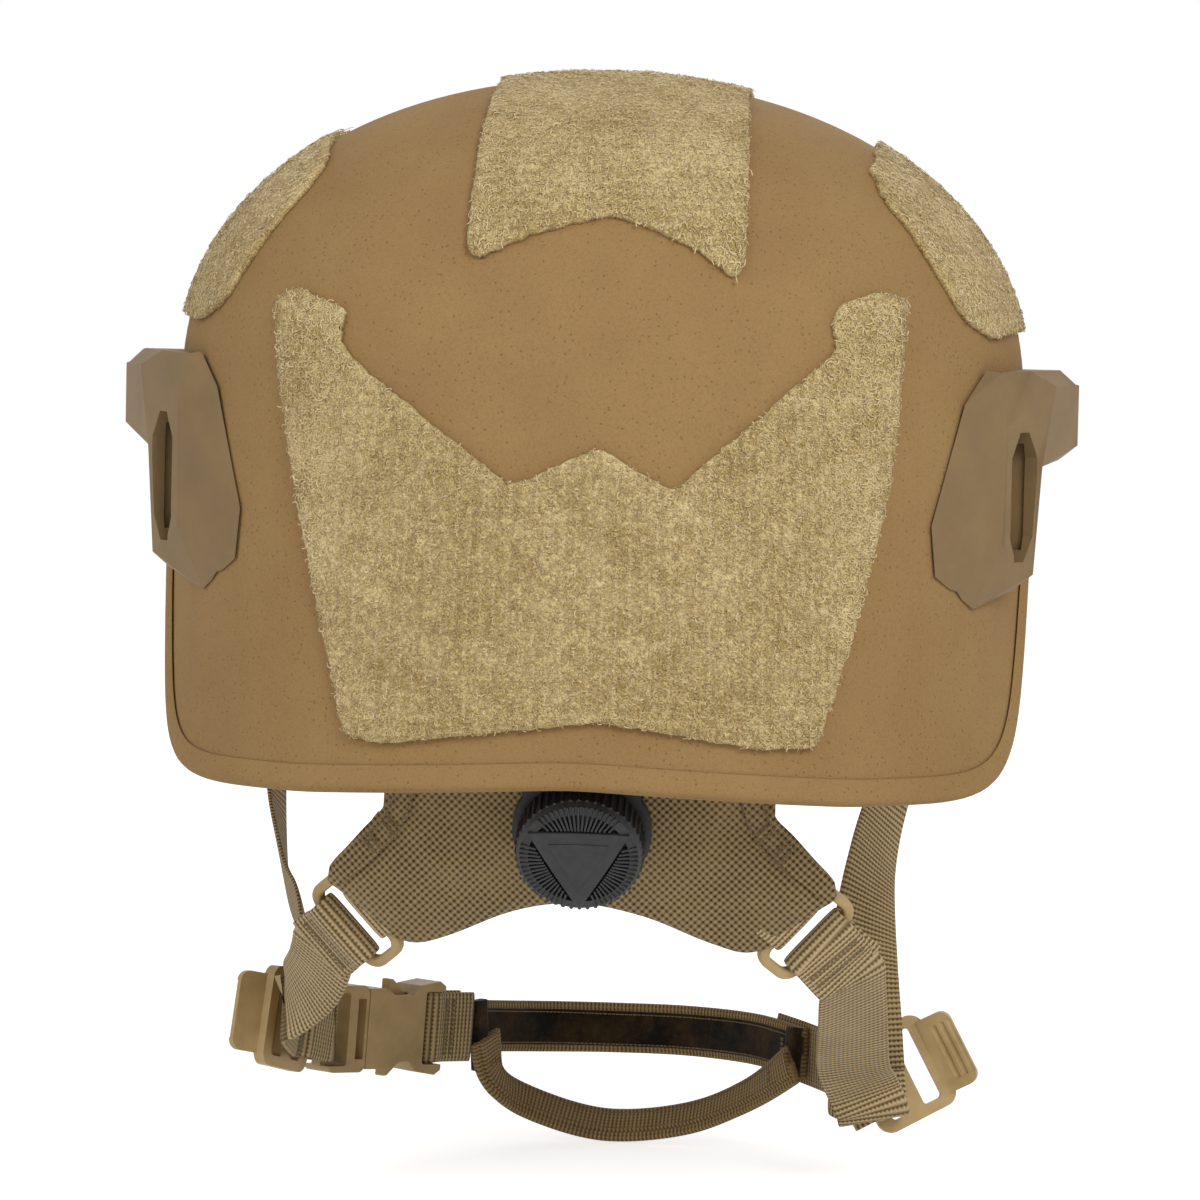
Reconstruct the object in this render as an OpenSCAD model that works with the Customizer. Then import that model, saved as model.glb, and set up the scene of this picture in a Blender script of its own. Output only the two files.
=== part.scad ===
/* [Shell] */
// Half the width of the shell at its widest line
half_w = 114; // [106:1:122]
// Length of the shell behind its widest line
rear_len = 115; // [107:1:123]
// Length of the shell ahead of its widest line
front_len = 165; // [155:1:175]
// Place of the widest line, front to back
widest_y = -25; // [-32:1:-18]
// Height of the widest level above the brow
equator_z = 40; // [34:1:46]
// Height of the dome above its widest level
dome_h = 81; // [74:1:88]
// Thickness of the laminate
wall = 9; // [7:0.5:11]
// How far the rim is turned outward
rim_flare = 2.2; // [1:0.2:3.4]
// Height of the rear rim on the centre line
rear_rim_z = -61; // [-66:1:-56]
// Height of the ear cut
ear_cut_z = 12; // [6:1:18]

/* [Edge trim] */
// Width of the trim's lip on the shell
lip_w = 6; // [4.5:0.5:8]
// Thickness of the trim
trim_t = 1.2; // [0.8:0.1:1.8]

/* [Loop patches] */
// Thickness of the hook-and-loop pile
patch_t = 2.6; // [1.8:0.2:3.4]
// Gap of every glued layer over the true shell surface
glue_gap = 0.15; // [0.1:0.05:0.3]

/* [Rails] */
// How far the rail's rear crease stands off the shell
rail_crease = 7.2; // [6.4:0.2:8]
// How far the rail's block stands off the shell
rail_block = 15; // [13.5:0.5:16.5]
// Height of the rail's top edge
rail_top_z = 45; // [43:0.5:47]
// Width of the slot through the rear leg
slot_w = 13; // [11:0.5:15]
// Height of the slot through the rear leg
slot_h = 34; // [30:1:36]
// Radius of the rail bolts
bolt_r = 2.5; // [2:0.25:3]
// Radial clearance of a bolt in its hole
bolt_gap = 0.2; // [0.1:0.05:0.4]

/* [Front shroud] */
// Width of the shroud plate
shroud_w = 50; // [44:1:56]
// Height of the shroud plate
shroud_h = 46; // [42:1:50]
// Thickness of the shroud plate off the shell
shroud_t = 6; // [5:0.5:7]
// Width of the socket that takes the mount
socket_w = 22; // [18:1:26]

/* [Liner] */
// Thickness of the comfort pads at their crown
pad_t = 19; // [15:1:22]
// Thickness of the hook fastener behind each pad
hook_t = 1.6; // [1.2:0.2:2.2]
// Glue line between the hook fastener and the shell
hook_gap = 0.4; // [0.3:0.1:0.8]

/* [Nape pad] */
// Height of the top edge of the nape pad
nape_top_z = -40; // [-44:1:-36]
// Slope of the nape pad from the vertical, degrees
nape_tilt = 26; // [22:1:30]
// Thickness of the nape pad at its crown
nape_t = 10; // [8:0.5:13]

/* [Dial] */
// Radius of the knob
knob_r = 16.2; // [15:0.2:17.4]
// Height of the knob
knob_h = 11; // [9.5:0.5:12.5]
// Travel of the knob when it is pulled to release
pull = 2.5; // [1.5:0.25:3]
// Radius of the fixed post
post_r = 2.5; // [2:0.25:3]
// Radial running clearance on the post and the hub
run_gap = 0.06; // [0.03:0.01:0.1]
// Ribs round the knob
rib_count = 48; // [36:4:60]

/* [Webbing and buckle] */
// Width of the webbing
web_w = 20; // [18:0.5:22]
// Thickness of the webbing
web_t = 1.6; // [1.2:0.1:2]
// Radius of the round bars the webbing turns on
bar_r = 1.6; // [1.3:0.1:1.9]
// Thickness of the side-release buckle
buckle_t = 9.5; // [8.5:0.5:10.5]
// Thickness of the chin cup's lined bands
cup_t = 3.2; // [2.4:0.2:4]

/* [Hidden] */

// Squareness of the shell seen from above, and of its dome seen from the side
plan_n = 2.35;
dome_n = 2.08;
// Columns of the shell's surface along one straight stretch of the rim, in degrees
rim_step = 6.5;
// Millimetres of rim for one degree round the shell
arc_mm = 2.23;
skirt_rows = 3;
dome_rows = 9;

tan_web = "#A08C6D";
tan_shell = "#A18258";
tan_rail = "#8A6F4C";
tan_pile = "#B5A077";
tan_cordura = "#705D3E";
tan_plastic = "#8C7654";
black_plastic = "#383838";
black_foam = "#2A2A2A";
steel = "#5A5A5C";

function unit(v) = v / norm(v);
function mix(a, b, t) = a + (b - a) * t;
function spow(v, p) = sign(v) * pow(abs(v), p);
function flip_x(p, side) = [side * p.x, p.y, p.z];

// The outer skin of the shell: its plan radius factor at each height and its plan outline
function swell(z) = z < equator_z ? 1 : pow(max(0, 1 - pow((z - equator_z) / dome_h, dome_n)), 1 / dome_n);
function end_len(c) = c > 0 ? rear_len : front_len;
function plan(a) =
  let (k = pow(pow(abs(sin(a)), plan_n) + pow(abs(cos(a)), plan_n), -1 / plan_n))
  [half_w * sin(a) * k, -end_len(cos(a)) * cos(a) * k];
function skin(a, z) = [plan(a).x * swell(z), widest_y + plan(a).y * swell(z), z];
function skin_rear(x, z) =
  let (s = swell(z))
  [x, widest_y - rear_len * s * pow(max(0, 1 - pow(abs(x) / (half_w * s), plan_n)), 1 / plan_n), z];
function skin_front(x, z) =
  let (s = swell(z))
  [x, widest_y + front_len * s * pow(max(0, 1 - pow(abs(x) / (half_w * s), plan_n)), 1 / plan_n), z];
function skin_side(side, y, z) =
  let (s = swell(z), l = y < widest_y ? rear_len : front_len)
  [side * half_w * s * pow(max(0, 1 - pow(abs(y - widest_y) / (l * s), plan_n)), 1 / plan_n), y, z];
function plan_rho(x, y) =
  pow(pow(abs(x) / half_w, plan_n) + pow(abs(y - widest_y) / (y < widest_y ? rear_len : front_len), plan_n),
    1 / plan_n);
function skin_top(x, y) =
  [x, y, equator_z + dome_h * pow(max(0, 1 - pow(plan_rho(x, y), dome_n)), 1 / dome_n)];
function outward(p) =
  let (
    l = p.y < widest_y ? rear_len : front_len,
    y = p.y - widest_y,
    rho = max(0.02, plan_rho(p.x, p.y)),
    gx = pow(rho, 1 - plan_n) * spow(p.x / half_w, plan_n - 1) / half_w,
    gy = pow(rho, 1 - plan_n) * spow(y / l, plan_n - 1) / l,
    up = max(0, p.z - equator_z) / dome_h,
    k = p.z > equator_z ? pow(rho, dome_n - 1) : 1
  )
  unit([gx * k, gy * k, p.z > equator_z ? pow(up, dome_n - 1) / dome_h : 0]);
function lift(p, h) = p + outward(p) * h;

// The rim of one half as degrees round from the rear and height, with its corners rounded
rim_corners = [
  [0, rear_rim_z, 0, 0],
  [36, rear_rim_z - 4, 6, 6],
  [71, rear_rim_z - 5, 38, 30],
  [83, ear_cut_z, 18, 9],
  [124, ear_cut_z - 2, 12, 9],
  [142, 0, 9, 9],
  [180, 0, 0, 0]
];
function pt(c) = [c[0], c[1]];
function arc_len(a, b) = norm([(b[0] - a[0]) * arc_mm, b[1] - a[1]]);
function cut_in(i) =
  let (c = rim_corners[i], b = rim_corners[i - 1])
  mix(pt(c), pt(b), c[2] / arc_len(b, c));
function cut_out(i) =
  let (c = rim_corners[i], b = rim_corners[i + 1])
  mix(pt(c), pt(b), c[3] / arc_len(c, b));
function bezier(a, b, c, t) = mix(mix(a, b, t), mix(b, c, t), t);
last = len(rim_corners) - 1;
function straight(a, b) =
  let (n = max(1, round(arc_len(a, b) / (rim_step * arc_mm))))
  [for (k = [0:n - 1]) mix(a, b, k / n)];
corner_steps = 4;
half_rim = [
  for (i = [0:last - 1])
    each concat(
      i == 0 ? [] : [for (k = [0:corner_steps - 1])
        bezier(cut_in(i), pt(rim_corners[i]), cut_out(i), k / corner_steps)],
      straight(i == 0 ? pt(rim_corners[0]) : cut_out(i),
        i + 1 == last ? pt(rim_corners[last]) : cut_in(i + 1))
    ),
  pt(rim_corners[last])
];
half_n = len(half_rim);
rim = concat(half_rim, [for (i = [half_n - 2:-1:1]) [360 - half_rim[i][0], half_rim[i][1]]]);
cols = len(rim);
function rim_at(i) =
  let (k = (i + cols) % cols, turn = i < 0 ? -360 : i >= cols ? 360 : 0)
  [rim[k][0] + turn, rim[k][1]];

// A point of the rim moved d millimetres into the shell, square to the rim
function inset(i, d) =
  let (
    t = rim_at(i + 1) - rim_at(i - 1),
    u = unit([t[0] * arc_mm, t[1]])
  )
  [rim_at(i)[0] - u[1] * d / arc_mm, rim_at(i)[1] + u[0] * d];
flare_at = [rim_flare, rim_flare * 0.36, 0];
flare_depth = [0, lip_w, 2.4 * lip_w];
crown_m = 5;
body_rows = skirt_rows + dome_rows + 1;
function skin_m(a, m) =
  let (s = pow(sin(m), 2 / dome_n))
  [plan(a).x * s, widest_y + plan(a).y * s, equator_z + dome_h * pow(max(0, cos(m)), 2 / dome_n)];
function body_point(i, r) =
  let (
    start = inset(i, flare_depth[2]),
    t = r / (body_rows - 1),
    a = mix(start[0], i * 360 / cols, t * t * (3 - 2 * t))
  )
  r < skirt_rows
    ? skin(a, mix(start[1], equator_z, r / skirt_rows))
    : skin_m(a, mix(90, crown_m, (r - skirt_rows) / dome_rows));
function rim_point(i, r) =
  let (c = inset(i, flare_depth[r]))
  skin(c[0], c[1]);
function outer_point(i, r) = r < 2 ? lift(rim_point(i, r), flare_at[r]) : body_point(i, r - 2);
row_count = body_rows + 2;
function outer_row(r, h = 0) = [for (i = [0:cols - 1]) lift(outer_point(i, r), h)];
function inner_row(r) = outer_row(r, -wall);

// A closed solid through rings of points that all have the same count
function mean(r) = [for (k = [0:2]) [for (p = r) p[k]] * [for (p = r) 1] / len(r)];
module loft(rings, closed = false, flip = false) {
  n = len(rings[0]);
  m = len(rings);
  points = concat([for (r = rings) each r], closed ? [] : [mean(rings[0]), mean(rings[m - 1])]);
  quads = [
    for (i = [0:(closed ? m : m - 1) - 1], j = [0:n - 1])
      let (
        a = i * n + j,
        b = i * n + (j + 1) % n,
        c = ((i + 1) % m) * n + (j + 1) % n,
        d = ((i + 1) % m) * n + j
      )
      each [[a, b, c], [a, c, d]]
  ];
  fans = closed ? [] : [
    for (j = [0:n - 1])
      each [
        [n * m, (j + 1) % n, j],
        [n * m + 1, (m - 1) * n + j, (m - 1) * n + (j + 1) % n]
      ]
  ];
  faces = concat(quads, fans);
  polyhedron(points, flip ? [for (f = faces) [f[2], f[1], f[0]]] : faces);
}

// Local frames: x along the first direction, z towards the second
module place(origin, along, normal) {
  ex = unit(along);
  ez = unit(normal - (normal * ex) * ex);
  ey = cross(ez, ex);
  translate(origin)
    rotate([atan2(ey.z, ez.z), -asin(ex.z), atan2(ex.y, ex.x)])
      children();
}

// Bolts: the point on the skin and the direction out of it
rail_bolts = [[-30, 27], [52, 24]];
function bolt_point(side, k) = skin_side(side, rail_bolts[k][0], rail_bolts[k][1]);
shroud_bolts = [[0, 44], [-15, 20], [15, 20]];
function shroud_point(k) = skin_front(shroud_bolts[k][0], shroud_bolts[k][1]);
module on_bolt(side, k) {
  p = bolt_point(side, k);
  place(p, cross([0, 0, 1], outward(p)), outward(p)) children();
}
module on_shroud_bolt(k) {
  p = shroud_point(k);
  place(p, [1, 0, 0], [0, 1, 0]) children();
}

module shell() {
  color(tan_shell)
    difference() {
      loft(concat([for (r = [row_count - 1:-1:0]) inner_row(r)], [for (r = [0:row_count - 1]) outer_row(r)]),
        flip = true);
      for (side = [-1, 1], k = [0, 1])
        on_bolt(side, k) cylinder(r = bolt_r + bolt_gap, h = 3 * wall, center = true, $fn = 32);
      for (k = [0:2])
        on_shroud_bolt(k) cylinder(r = bolt_r + bolt_gap, h = 5 * wall, center = true, $fn = 32);
    }
}

// The trim is a channel pushed over the rim, with its lips tapering on the shell
module edge_trim() {
  o0 = outer_row(0);
  o1 = outer_row(1);
  n0 = inner_row(0);
  n1 = inner_row(1);
  g = 0.3;
  rings = [
    for (i = [0:cols - 1])
      let (
        n = unit(o0[i] - n0[i]),
        d = unit(o1[i] - o0[i]),
        e = unit(n1[i] - n0[i])
      )
      [
        o1[i] + n * g,
        o1[i] + n * (g + trim_t * 0.5),
        mix(o0[i], o1[i], 0.25) + n * (g + trim_t),
        o0[i] + n * (g + trim_t * 0.4) - d * (g + trim_t * 0.7),
        mix(o0[i], n0[i], 0.5) - d * (g + trim_t * 1.3),
        n0[i] - n * (g + trim_t * 0.4) - e * (g + trim_t * 0.7),
        mix(n0[i], n1[i], 0.25) - n * (g + trim_t),
        n1[i] - n * (g + trim_t * 0.5),
        n1[i] - n * g,
        n0[i] - n * g - e * g,
        o0[i] + n * g - d * g
      ]
  ];
  color(tan_shell) loft(rings, closed = true, flip = true);
}

// A layer that follows the shell's own facets, between two columns and two rows
function column_at(a) = len([for (i = [0:cols - 1]) if (rim_at(i)[0] < a) 1]);
module sheet(a0, a1, r0, r1, inner, outer) {
  c0 = a0 < 0 ? -column_at(-a0) : column_at(a0);
  rings = [
    for (i = [c0:column_at(a1)])
      let (k = (i + cols) % cols)
      concat(
        [for (r = [r0:r1]) lift(outer_point(k, r), inner)],
        [for (r = [r1:-1:r0]) lift(outer_point(k, r), outer)]
      )
  ];
  loft(rings, flip = true);
}
module bowl(r0, inner, outer) {
  loft(concat(
    [for (r = [row_count - 1:-1:r0]) outer_row(r, outer)],
    [for (r = [r0:row_count - 1]) outer_row(r, inner)]
  ));
}
function both(half) = concat(half, [for (i = [len(half) - 1:-1:0]) [-half[i][0], half[i][1]]]);
module along_y(y) {
  translate([0, y, 0]) rotate([90, 0, 0]) linear_extrude(height = 60, center = true) children();
}
module along_x(x) {
  translate([x, 0, 0]) rotate([90, 0, 90]) linear_extrude(height = 90, center = true) children();
}

// The rear patch in rear view, as width and height
rear_patch_outline = [
  [-80, 59], [-74, 62], [-60, 57], [-62, 51], [-60, 46], [-17, 14], [5, 24], [24, 13.5],
  [64, 50], [62, 57], [64, 61], [73, 64], [81, 63], [78, 17], [69, -24], [61, -51], [48, -51.5],
  [32, -49], [7, -45], [-23, -49], [-49, -52.5], [-58, -51], [-64, -27], [-72, 8], [-77, 36]
];
module rear_loop_patch() {
  color(tan_pile)
    intersection() {
      sheet(-75, 75, 1, 8, glue_gap, patch_t);
      along_y(widest_y - rear_len + 25) polygon(rear_patch_outline);
    }
}

// The top patch in plan, notched like a chevron at both ends
top_patch_outline = [
  [-30, -128], [-27, -130], [6, -124], [37, -129.5], [40, -128], [40, -112], [38, -60], [37, 62],
  [33, 66], [4, 55], [-26, 66], [-30, 62], [-28, -60]
];
module top_loop_patch() {
  color(tan_pile)
    intersection() {
      bowl(7, glue_gap, patch_t);
      linear_extrude(height = 300) polygon(top_patch_outline);
    }
}

// A side patch in side view, as depth and height
side_patch_outline = [
  [-80, 53], [-92, 58], [-94, 72], [-89, 88], [-78, 96], [-58, 101], [-15, 104], [8, 101],
  [34, 88], [38, 76], [22, 57], [-15, 55], [-55, 55]
];
module side_loop_patch(side) {
  color(tan_pile)
    mirror([side < 0 ? 1 : 0, 0, 0])
      intersection() {
        sheet(36, 150, 4, 10, glue_gap, patch_t);
        along_x(85) polygon(side_patch_outline);
      }
}
module side_loop_patch_left() side_loop_patch(-1);
module side_loop_patch_right() side_loop_patch(1);

// The shell's outside as a solid plug, to seat what is bolted on it
module skin_plug(a0, a1, r1, gap) {
  rings = [
    for (i = [column_at(a0):column_at(a1)])
      let (low = outer_point(i, 0), high = outer_point(i, r1))
      concat(
        [for (r = [0:r1]) lift(outer_point(i, r), gap)],
        [[half_w * 0.3, high.y, high.z], [half_w * 0.3, low.y, low.z - 8]],
        [[low.x, low.y, low.z - 8]]
      )
  ];
  loft(rings);
}

// Corners of the rail in side view: depth, height and stand-off from the skin
function stand(c) = let (p = skin_side(1, c[0], c[1])) [p.x + c[2], p.y, p.z];
module faceted(corners) {
  hull()
    for (c = corners)
      translate(stand(c)) cube(0.02, center = true);
}
rail_sink = -6;
leg_corners = [
  [-88, 31, rail_crease], [-89, -0.5, rail_crease], [-72, 20, rail_crease + 3.2], [-72, -8.5, rail_crease + 1.5],
  [-74, -12.5, 4.2], [-96, 36.3, 0.6], [-86, rail_top_z, 0.6], [-106.5, 5, 0.6], [-105, -8, 0.6], [-90, -17, 0.6],
  [-86, rail_top_z - 0.5, 4.6], [-72, 32, rail_crease + 2],
  [-72, 20, rail_sink], [-72, -8.5, rail_sink], [-90, 31, rail_sink], [-96, 0, rail_sink],
  [-72, 32, rail_sink]
];
block_corners = [
  [-88, 31, rail_crease], [-72, 20, rail_crease + 3.2], [-86, rail_top_z - 0.5, 4.6],
  [-76, rail_top_z, rail_crease + 0.8], [-64.6, 41, rail_crease + 4.5], [-52, rail_top_z, rail_block - 4.6],
  [-46, 40.5, rail_block], [-45, 25, rail_block], [-48, 22.5, rail_block - 3], [-72, 32, rail_sink],
  [-45, rail_top_z, rail_block - 5], [-45, 21, rail_block - 5], [-45, 21, rail_sink], [-45, rail_top_z, rail_sink]
];
bar_stations = [
  [-45, rail_top_z, 21, 4, 1], [-8, 43, 20.5, 4, 0.86], [34, 39, 20, 4, 0.8], [62, 34, 19, 3, 0.66]
];
function bar_corners(s) = [
  [s[0], s[1], 0.6], [s[0], s[1] - s[3], rail_block * s[4]], [s[0], s[2] + s[3], rail_block * s[4]],
  [s[0], s[2], rail_block * s[4] * 0.6], [s[0], s[2], rail_sink], [s[0], s[1], rail_sink]
];
nose_corners = [[74, 30, 5], [74, 21, 5], [74, 30, rail_sink], [74, 21, rail_sink]];
groove_depth = 4;
groove_h = 9;
groove_reach = 20;
// The accessory groove follows the bar, open at its front end
groove_ends = [[-34, 0], [-8, 1], [34, 2], [76, 3]];
module groove() {
  loft([
    for (g = groove_ends)
      let (
        s = bar_stations[g[1]],
        mid = (s[1] + s[2]) / 2,
        x = skin_side(1, g[0], mid).x + rail_block * s[4] - groove_depth
      )
      [
        [x, g[0], mid - groove_h / 2], [x + groove_reach, g[0], mid - groove_h / 2],
        [x + groove_reach, g[0], mid + groove_h / 2], [x, g[0], mid + groove_h / 2]
      ]
  ]);
}
module rail_solid() {
  difference() {
    union() {
      faceted(leg_corners);
      faceted(block_corners);
      faceted(concat(bar_corners(bar_stations[0]), bar_corners(bar_stations[1])));
      faceted(concat(bar_corners(bar_stations[1]), bar_corners(bar_stations[2])));
      faceted(concat(bar_corners(bar_stations[2]), bar_corners(bar_stations[3]), nose_corners));
    }
    skin_plug(38, 136, 7, 0.3);
    leg_slot();
    groove();
    for (k = [0, 1])
      on_bolt(1, k) {
        cylinder(r = bolt_r + bolt_gap, h = 60, center = true, $fn = 32);
        translate([0, 0, screw_seat]) cylinder(r = screw_head_r + bolt_gap, h = 30, $fn = 32);
      }
  }
}
screw_seat = 4.5;
screw_head_r = 4.6;
screw_head_h = 2.6;

// The slot runs through the leg's outer plate and opens forward between the plate and the shell
slot_mid = [-79.5, 12];
module leg_slot() {
  p = stand([slot_mid[0], slot_mid[1], rail_crease]);
  lean = atan2(rail_crease, 17);
  translate(p)
    rotate([0, 0, -lean])
      rotate([0, 90, 0])
        linear_extrude(height = 16, center = true)
          slot_outline(slot_h, slot_w);
  translate([stand([-72, 12, 0]).x + 2.4, -80, slot_mid[1]])
    rotate([0, 0, -12])
      translate([0, 15, 0]) cube([3.6, 36, slot_h - 6], center = true);
}
module slot_outline(h, w) {
  c = w * 0.32;
  polygon([
    [-h / 2, -w / 2 + c], [-h / 2 + c * 1.6, -w / 2], [h / 2 - c * 1.6, -w / 2], [h / 2, -w / 2 + c],
    [h / 2, w / 2 - c], [h / 2 - c * 1.6, w / 2], [-h / 2 + c * 1.6, w / 2], [-h / 2, w / 2 - c]
  ]);
}
module rail_left() {
  color(tan_rail) mirror([1, 0, 0]) rail_solid();
}
module rail_right() {
  color(tan_rail) rail_solid();
}

// Bolts with low round heads, and the wide flanged nuts inside the shell
module rail_screws() {
  color(steel)
    for (side = [-1, 1], k = [0, 1])
      on_bolt(side, k) bolt(screw_seat, wall + screw_seat + nut_t + web_t + web_gap + nut_gap + 0.6);
}
nut_t = 2.4;
nut_r = 7;
module bolt(seat, reach) {
  difference() {
    union() {
      translate([0, 0, seat + 0.05]) cylinder(r = screw_head_r, h = screw_head_h, $fn = 48);
      translate([0, 0, seat + 0.05 - reach]) cylinder(r = bolt_r, h = reach, $fn = 32);
    }
    translate([0, 0, seat + screw_head_h - 1.4])
      cylinder(r = 1.9, h = 3, $fn = 6);
  }
}
module nut() {
  difference() {
    union() {
      cylinder(r = nut_r, h = 1.2, $fn = 48);
      cylinder(r = nut_r * 0.55, h = nut_t, $fn = 48);
    }
    translate([0, 0, -1]) cylinder(r = bolt_r + 0.05, h = nut_t + 2, $fn = 32);
  }
}
nut_gap = 0.35;
web_gap = 0.75;
module rail_nuts() {
  color(steel)
    for (side = [-1, 1], k = [0, 1])
      on_bolt(side, k)
        translate([0, 0, -wall - (k == 1 ? web_t + web_gap : 0) - nut_gap]) rotate([180, 0, 0]) nut();
}

// The shroud: a plate shaped to the brow with a socket for a night-vision mount
shroud_mid_z = 30;
module shroud_plate(grow) {
  w = shroud_w / 2 + grow;
  h = shroud_h / 2 + grow;
  c = 9;
  translate([0, 0, shroud_mid_z])
    rotate([90, 0, 0])
      linear_extrude(height = 80, center = true)
        polygon([
          [-w + c, -h], [w - c, -h], [w, -h + c * 1.4], [w - 4, h - c * 1.6], [w - c - 5, h],
          [-w + c + 5, h], [-w + 4, h - c * 1.6], [-w, -h + c * 1.4]
        ]);
}
socket_depth = 3.4;
module front_shroud() {
  color(tan_rail)
    difference() {
      intersection() {
        sheet(140, 220, 1, 8, 0.3, shroud_t);
        translate([0, front_len + widest_y, 0]) shroud_plate(0);
      }
      // The socket is open at its foot, where the mount's shoe slides up into it
      translate([0, shroud_face_y - socket_depth, shroud_mid_z - shroud_h / 2 - 1])
        translate([-socket_w / 2, 0, 0]) cube([socket_w, 40, 26]);
      for (k = [0:2])
        on_shroud_bolt(k) {
          cylinder(r = bolt_r + bolt_gap, h = 60, center = true, $fn = 32);
          translate([0, 0, shroud_seat]) cylinder(r = screw_head_r + bolt_gap, h = 30, $fn = 32);
        }
    }
}
shroud_face_y = skin_front(0, shroud_mid_z - shroud_h / 2).y + shroud_t;
shroud_seat = 2.4;
module shroud_screws() {
  color(steel)
    for (k = [0:2])
      on_shroud_bolt(k) bolt(shroud_seat, wall + shroud_seat + nut_t + 2.6);
}
module shroud_nuts() {
  color(steel)
    for (k = [0:2])
      on_shroud_bolt(k)
        translate([0, 0, -wall - (k == 0 ? 2.4 : 1.4)]) rotate([180, 0, 0]) nut();
}
// Room for the shroud's nuts and bolt ends in the liner
module nut_room() {
  for (k = [0:2])
    on_shroud_bolt(k) translate([0, 0, -wall - nut_room_t]) cylinder(r = nut_r + 0.6, h = nut_room_t, $fn = 48);
}
nut_room_t = 7.2;

// A liner pad: flat to the shell, crowned to the head, its sides drawn in between the corners
pad_seat = wall + hook_t + hook_gap + 0.6;
module cushion(nu, nv, spot, thick) {
  edge = 0.42;
  rings = [
    for (i = [0:nu])
      let (u = mix(-1, 1, i / nu))
      concat(
        [for (k = [0:nv]) let (v = mix(-1, 1, k / nv)) lift(spot(u, v), -pad_seat)],
        [for (k = [nv:-1:0])
          let (v = mix(-1, 1, k / nv), crown = (1 - pow(abs(u), 3)) * (1 - pow(abs(v), 3)))
          lift(spot(u * (1 - 0.05 * (1 - abs(u))), v), -pad_seat - thick * (edge + (1 - edge) * pow(crown, 0.6)))]
      )
  ];
  loft(rings);
}
// Corner rounding of a pad: its end columns shorten
function soft_v(u, v) = v * (1 - 0.32 * pow(abs(u), 5));
function drawn(u, v, pinch) = u * (1 - pinch * (1 - v * v));
module crown_pad() {
  color(black_foam)
    cushion(10, 10, function(u, v) skin_top(44 * drawn(u, v, 0.05), -14 + 48 * soft_v(u, v)), pad_t * 0.8);
}
module front_pad() {
  color(black_foam)
    difference() {
      cushion(10, 6, function(u, v) skin_front(-60 * drawn(u, v, 0.04), 36 + 21 * soft_v(u, v)), pad_t * 0.8);
      nut_room();
    }
}
module rear_pad() {
  color(black_foam)
    cushion(10, 7, function(u, v) skin_rear(50 * drawn(u, v, 0.05), 22 + 30 * soft_v(u, v)), pad_t);
}
module side_pad(side) {
  color(black_foam)
    mirror([side < 0 ? 1 : 0, 0, 0])
      cushion(10, 6, function(u, v) skin_side(1, -10 + 48 * drawn(u, v, 0.04), 54 + 17 * soft_v(u, v)), pad_t * 0.85);
}
module side_pad_left() side_pad(-1);
module side_pad_right() side_pad(1);

// Hook fastener glued in the shell behind the pads and behind the nape pad's top edge
module hook_sheet(a0, a1, r0, r1) {
  sheet(a0, a1, r0, r1, -wall - hook_gap - hook_t, -wall - hook_gap);
}
module liner_hooks() {
  color(black_plastic) {
    intersection() {
      bowl(11, -wall - hook_gap - hook_t, -wall - hook_gap);
      translate([0, -18, 0]) linear_extrude(height = 300) rounded_plate(42, 46, 8);
    }
    difference() {
      intersection() {
        hook_sheet(150, 210, 2, 8);
        along_y(front_len + widest_y - 25) translate([0, 36]) rounded_plate(68, 20, 5);
      }
      nut_room();
    }
    intersection() {
      hook_sheet(-45, 45, 3, 8);
      along_y(widest_y - rear_len + 35) translate([0, 22]) rounded_plate(60, 32, 6);
    }
    intersection() {
      hook_sheet(-30, 30, 1, 4);
      along_y(widest_y - rear_len + 35) translate([0, nape_top_z - 3]) rounded_plate(56, 10, 3);
    }
    for (side = [0, 1])
      mirror([side, 0, 0])
        intersection() {
          hook_sheet(60, 132, 4, 9);
          along_x(85) translate([-10, 54]) rounded_plate(56, 16, 5);
        }
  }
}

// The nape pad's outer face, hanging inside the rear rim and leaning to the neck
nape_curve = 0.0043;
nape_set_in = hook_gap + hook_t + 0.5;
function nape_y(x, z) =
  widest_y - rear_len + wall + nape_set_in + nape_curve * x * x + (nape_top_z - z) * tan(nape_tilt);
nape_out = unit([0, -1, -tan(nape_tilt)]);
nape_up = unit([0, -tan(nape_tilt), 1]);
function nape_face(x, z) = [x, nape_y(x, z), z];
function nape_normal(x) = unit([2 * nape_curve * x, -1, -tan(nape_tilt)]);
// Half outline: x, top edge and bottom edge, as drops below the top of the pad
nape_stations = [
  [0, 0, 58], [12, 0, 60], [24, 0, 64], [36, 0, 69], [42, 2, 70], [47, 12, 66.5], [52, 31, 61],
  [58, 37, 56], [64, 43, 51], [67, 46, 49]
];
nape_edge = 2.4;
module nape_pad() {
  n = len(nape_stations);
  all = concat([for (i = [n - 1:-1:1]) let (s = nape_stations[i]) [-s[0], s[1], s[2]]], nape_stations);
  nv = 9;
  edge = nape_edge;
  rings = [
    for (s = all)
      let (
        fade = pow(1 - pow(abs(s[0]) / (nape_stations[n - 1][0] + 0.01), 2), 0.5),
        line = [for (k = [0:nv]) [s[0], nape_top_z - mix(s[1], s[2], k / nv), k / nv]],
        fat = [for (p = line) edge + (nape_t - edge) * fade * pow(max(0, sin(180 * p[2])), 0.5)]
      )
      concat(
        [for (k = [0:nv]) nape_face(line[k][0], line[k][1]) + nape_normal(s[0]) * (fat[k] - nape_t) * 0.3],
        [for (k = [nv:-1:0])
          nape_face(line[k][0], line[k][1]) + nape_normal(s[0]) * (-fat[k] + (fat[k] - nape_t) * 0.3)]
      )
  ];
  color(tan_cordura) loft(rings, flip = true);
}

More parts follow.
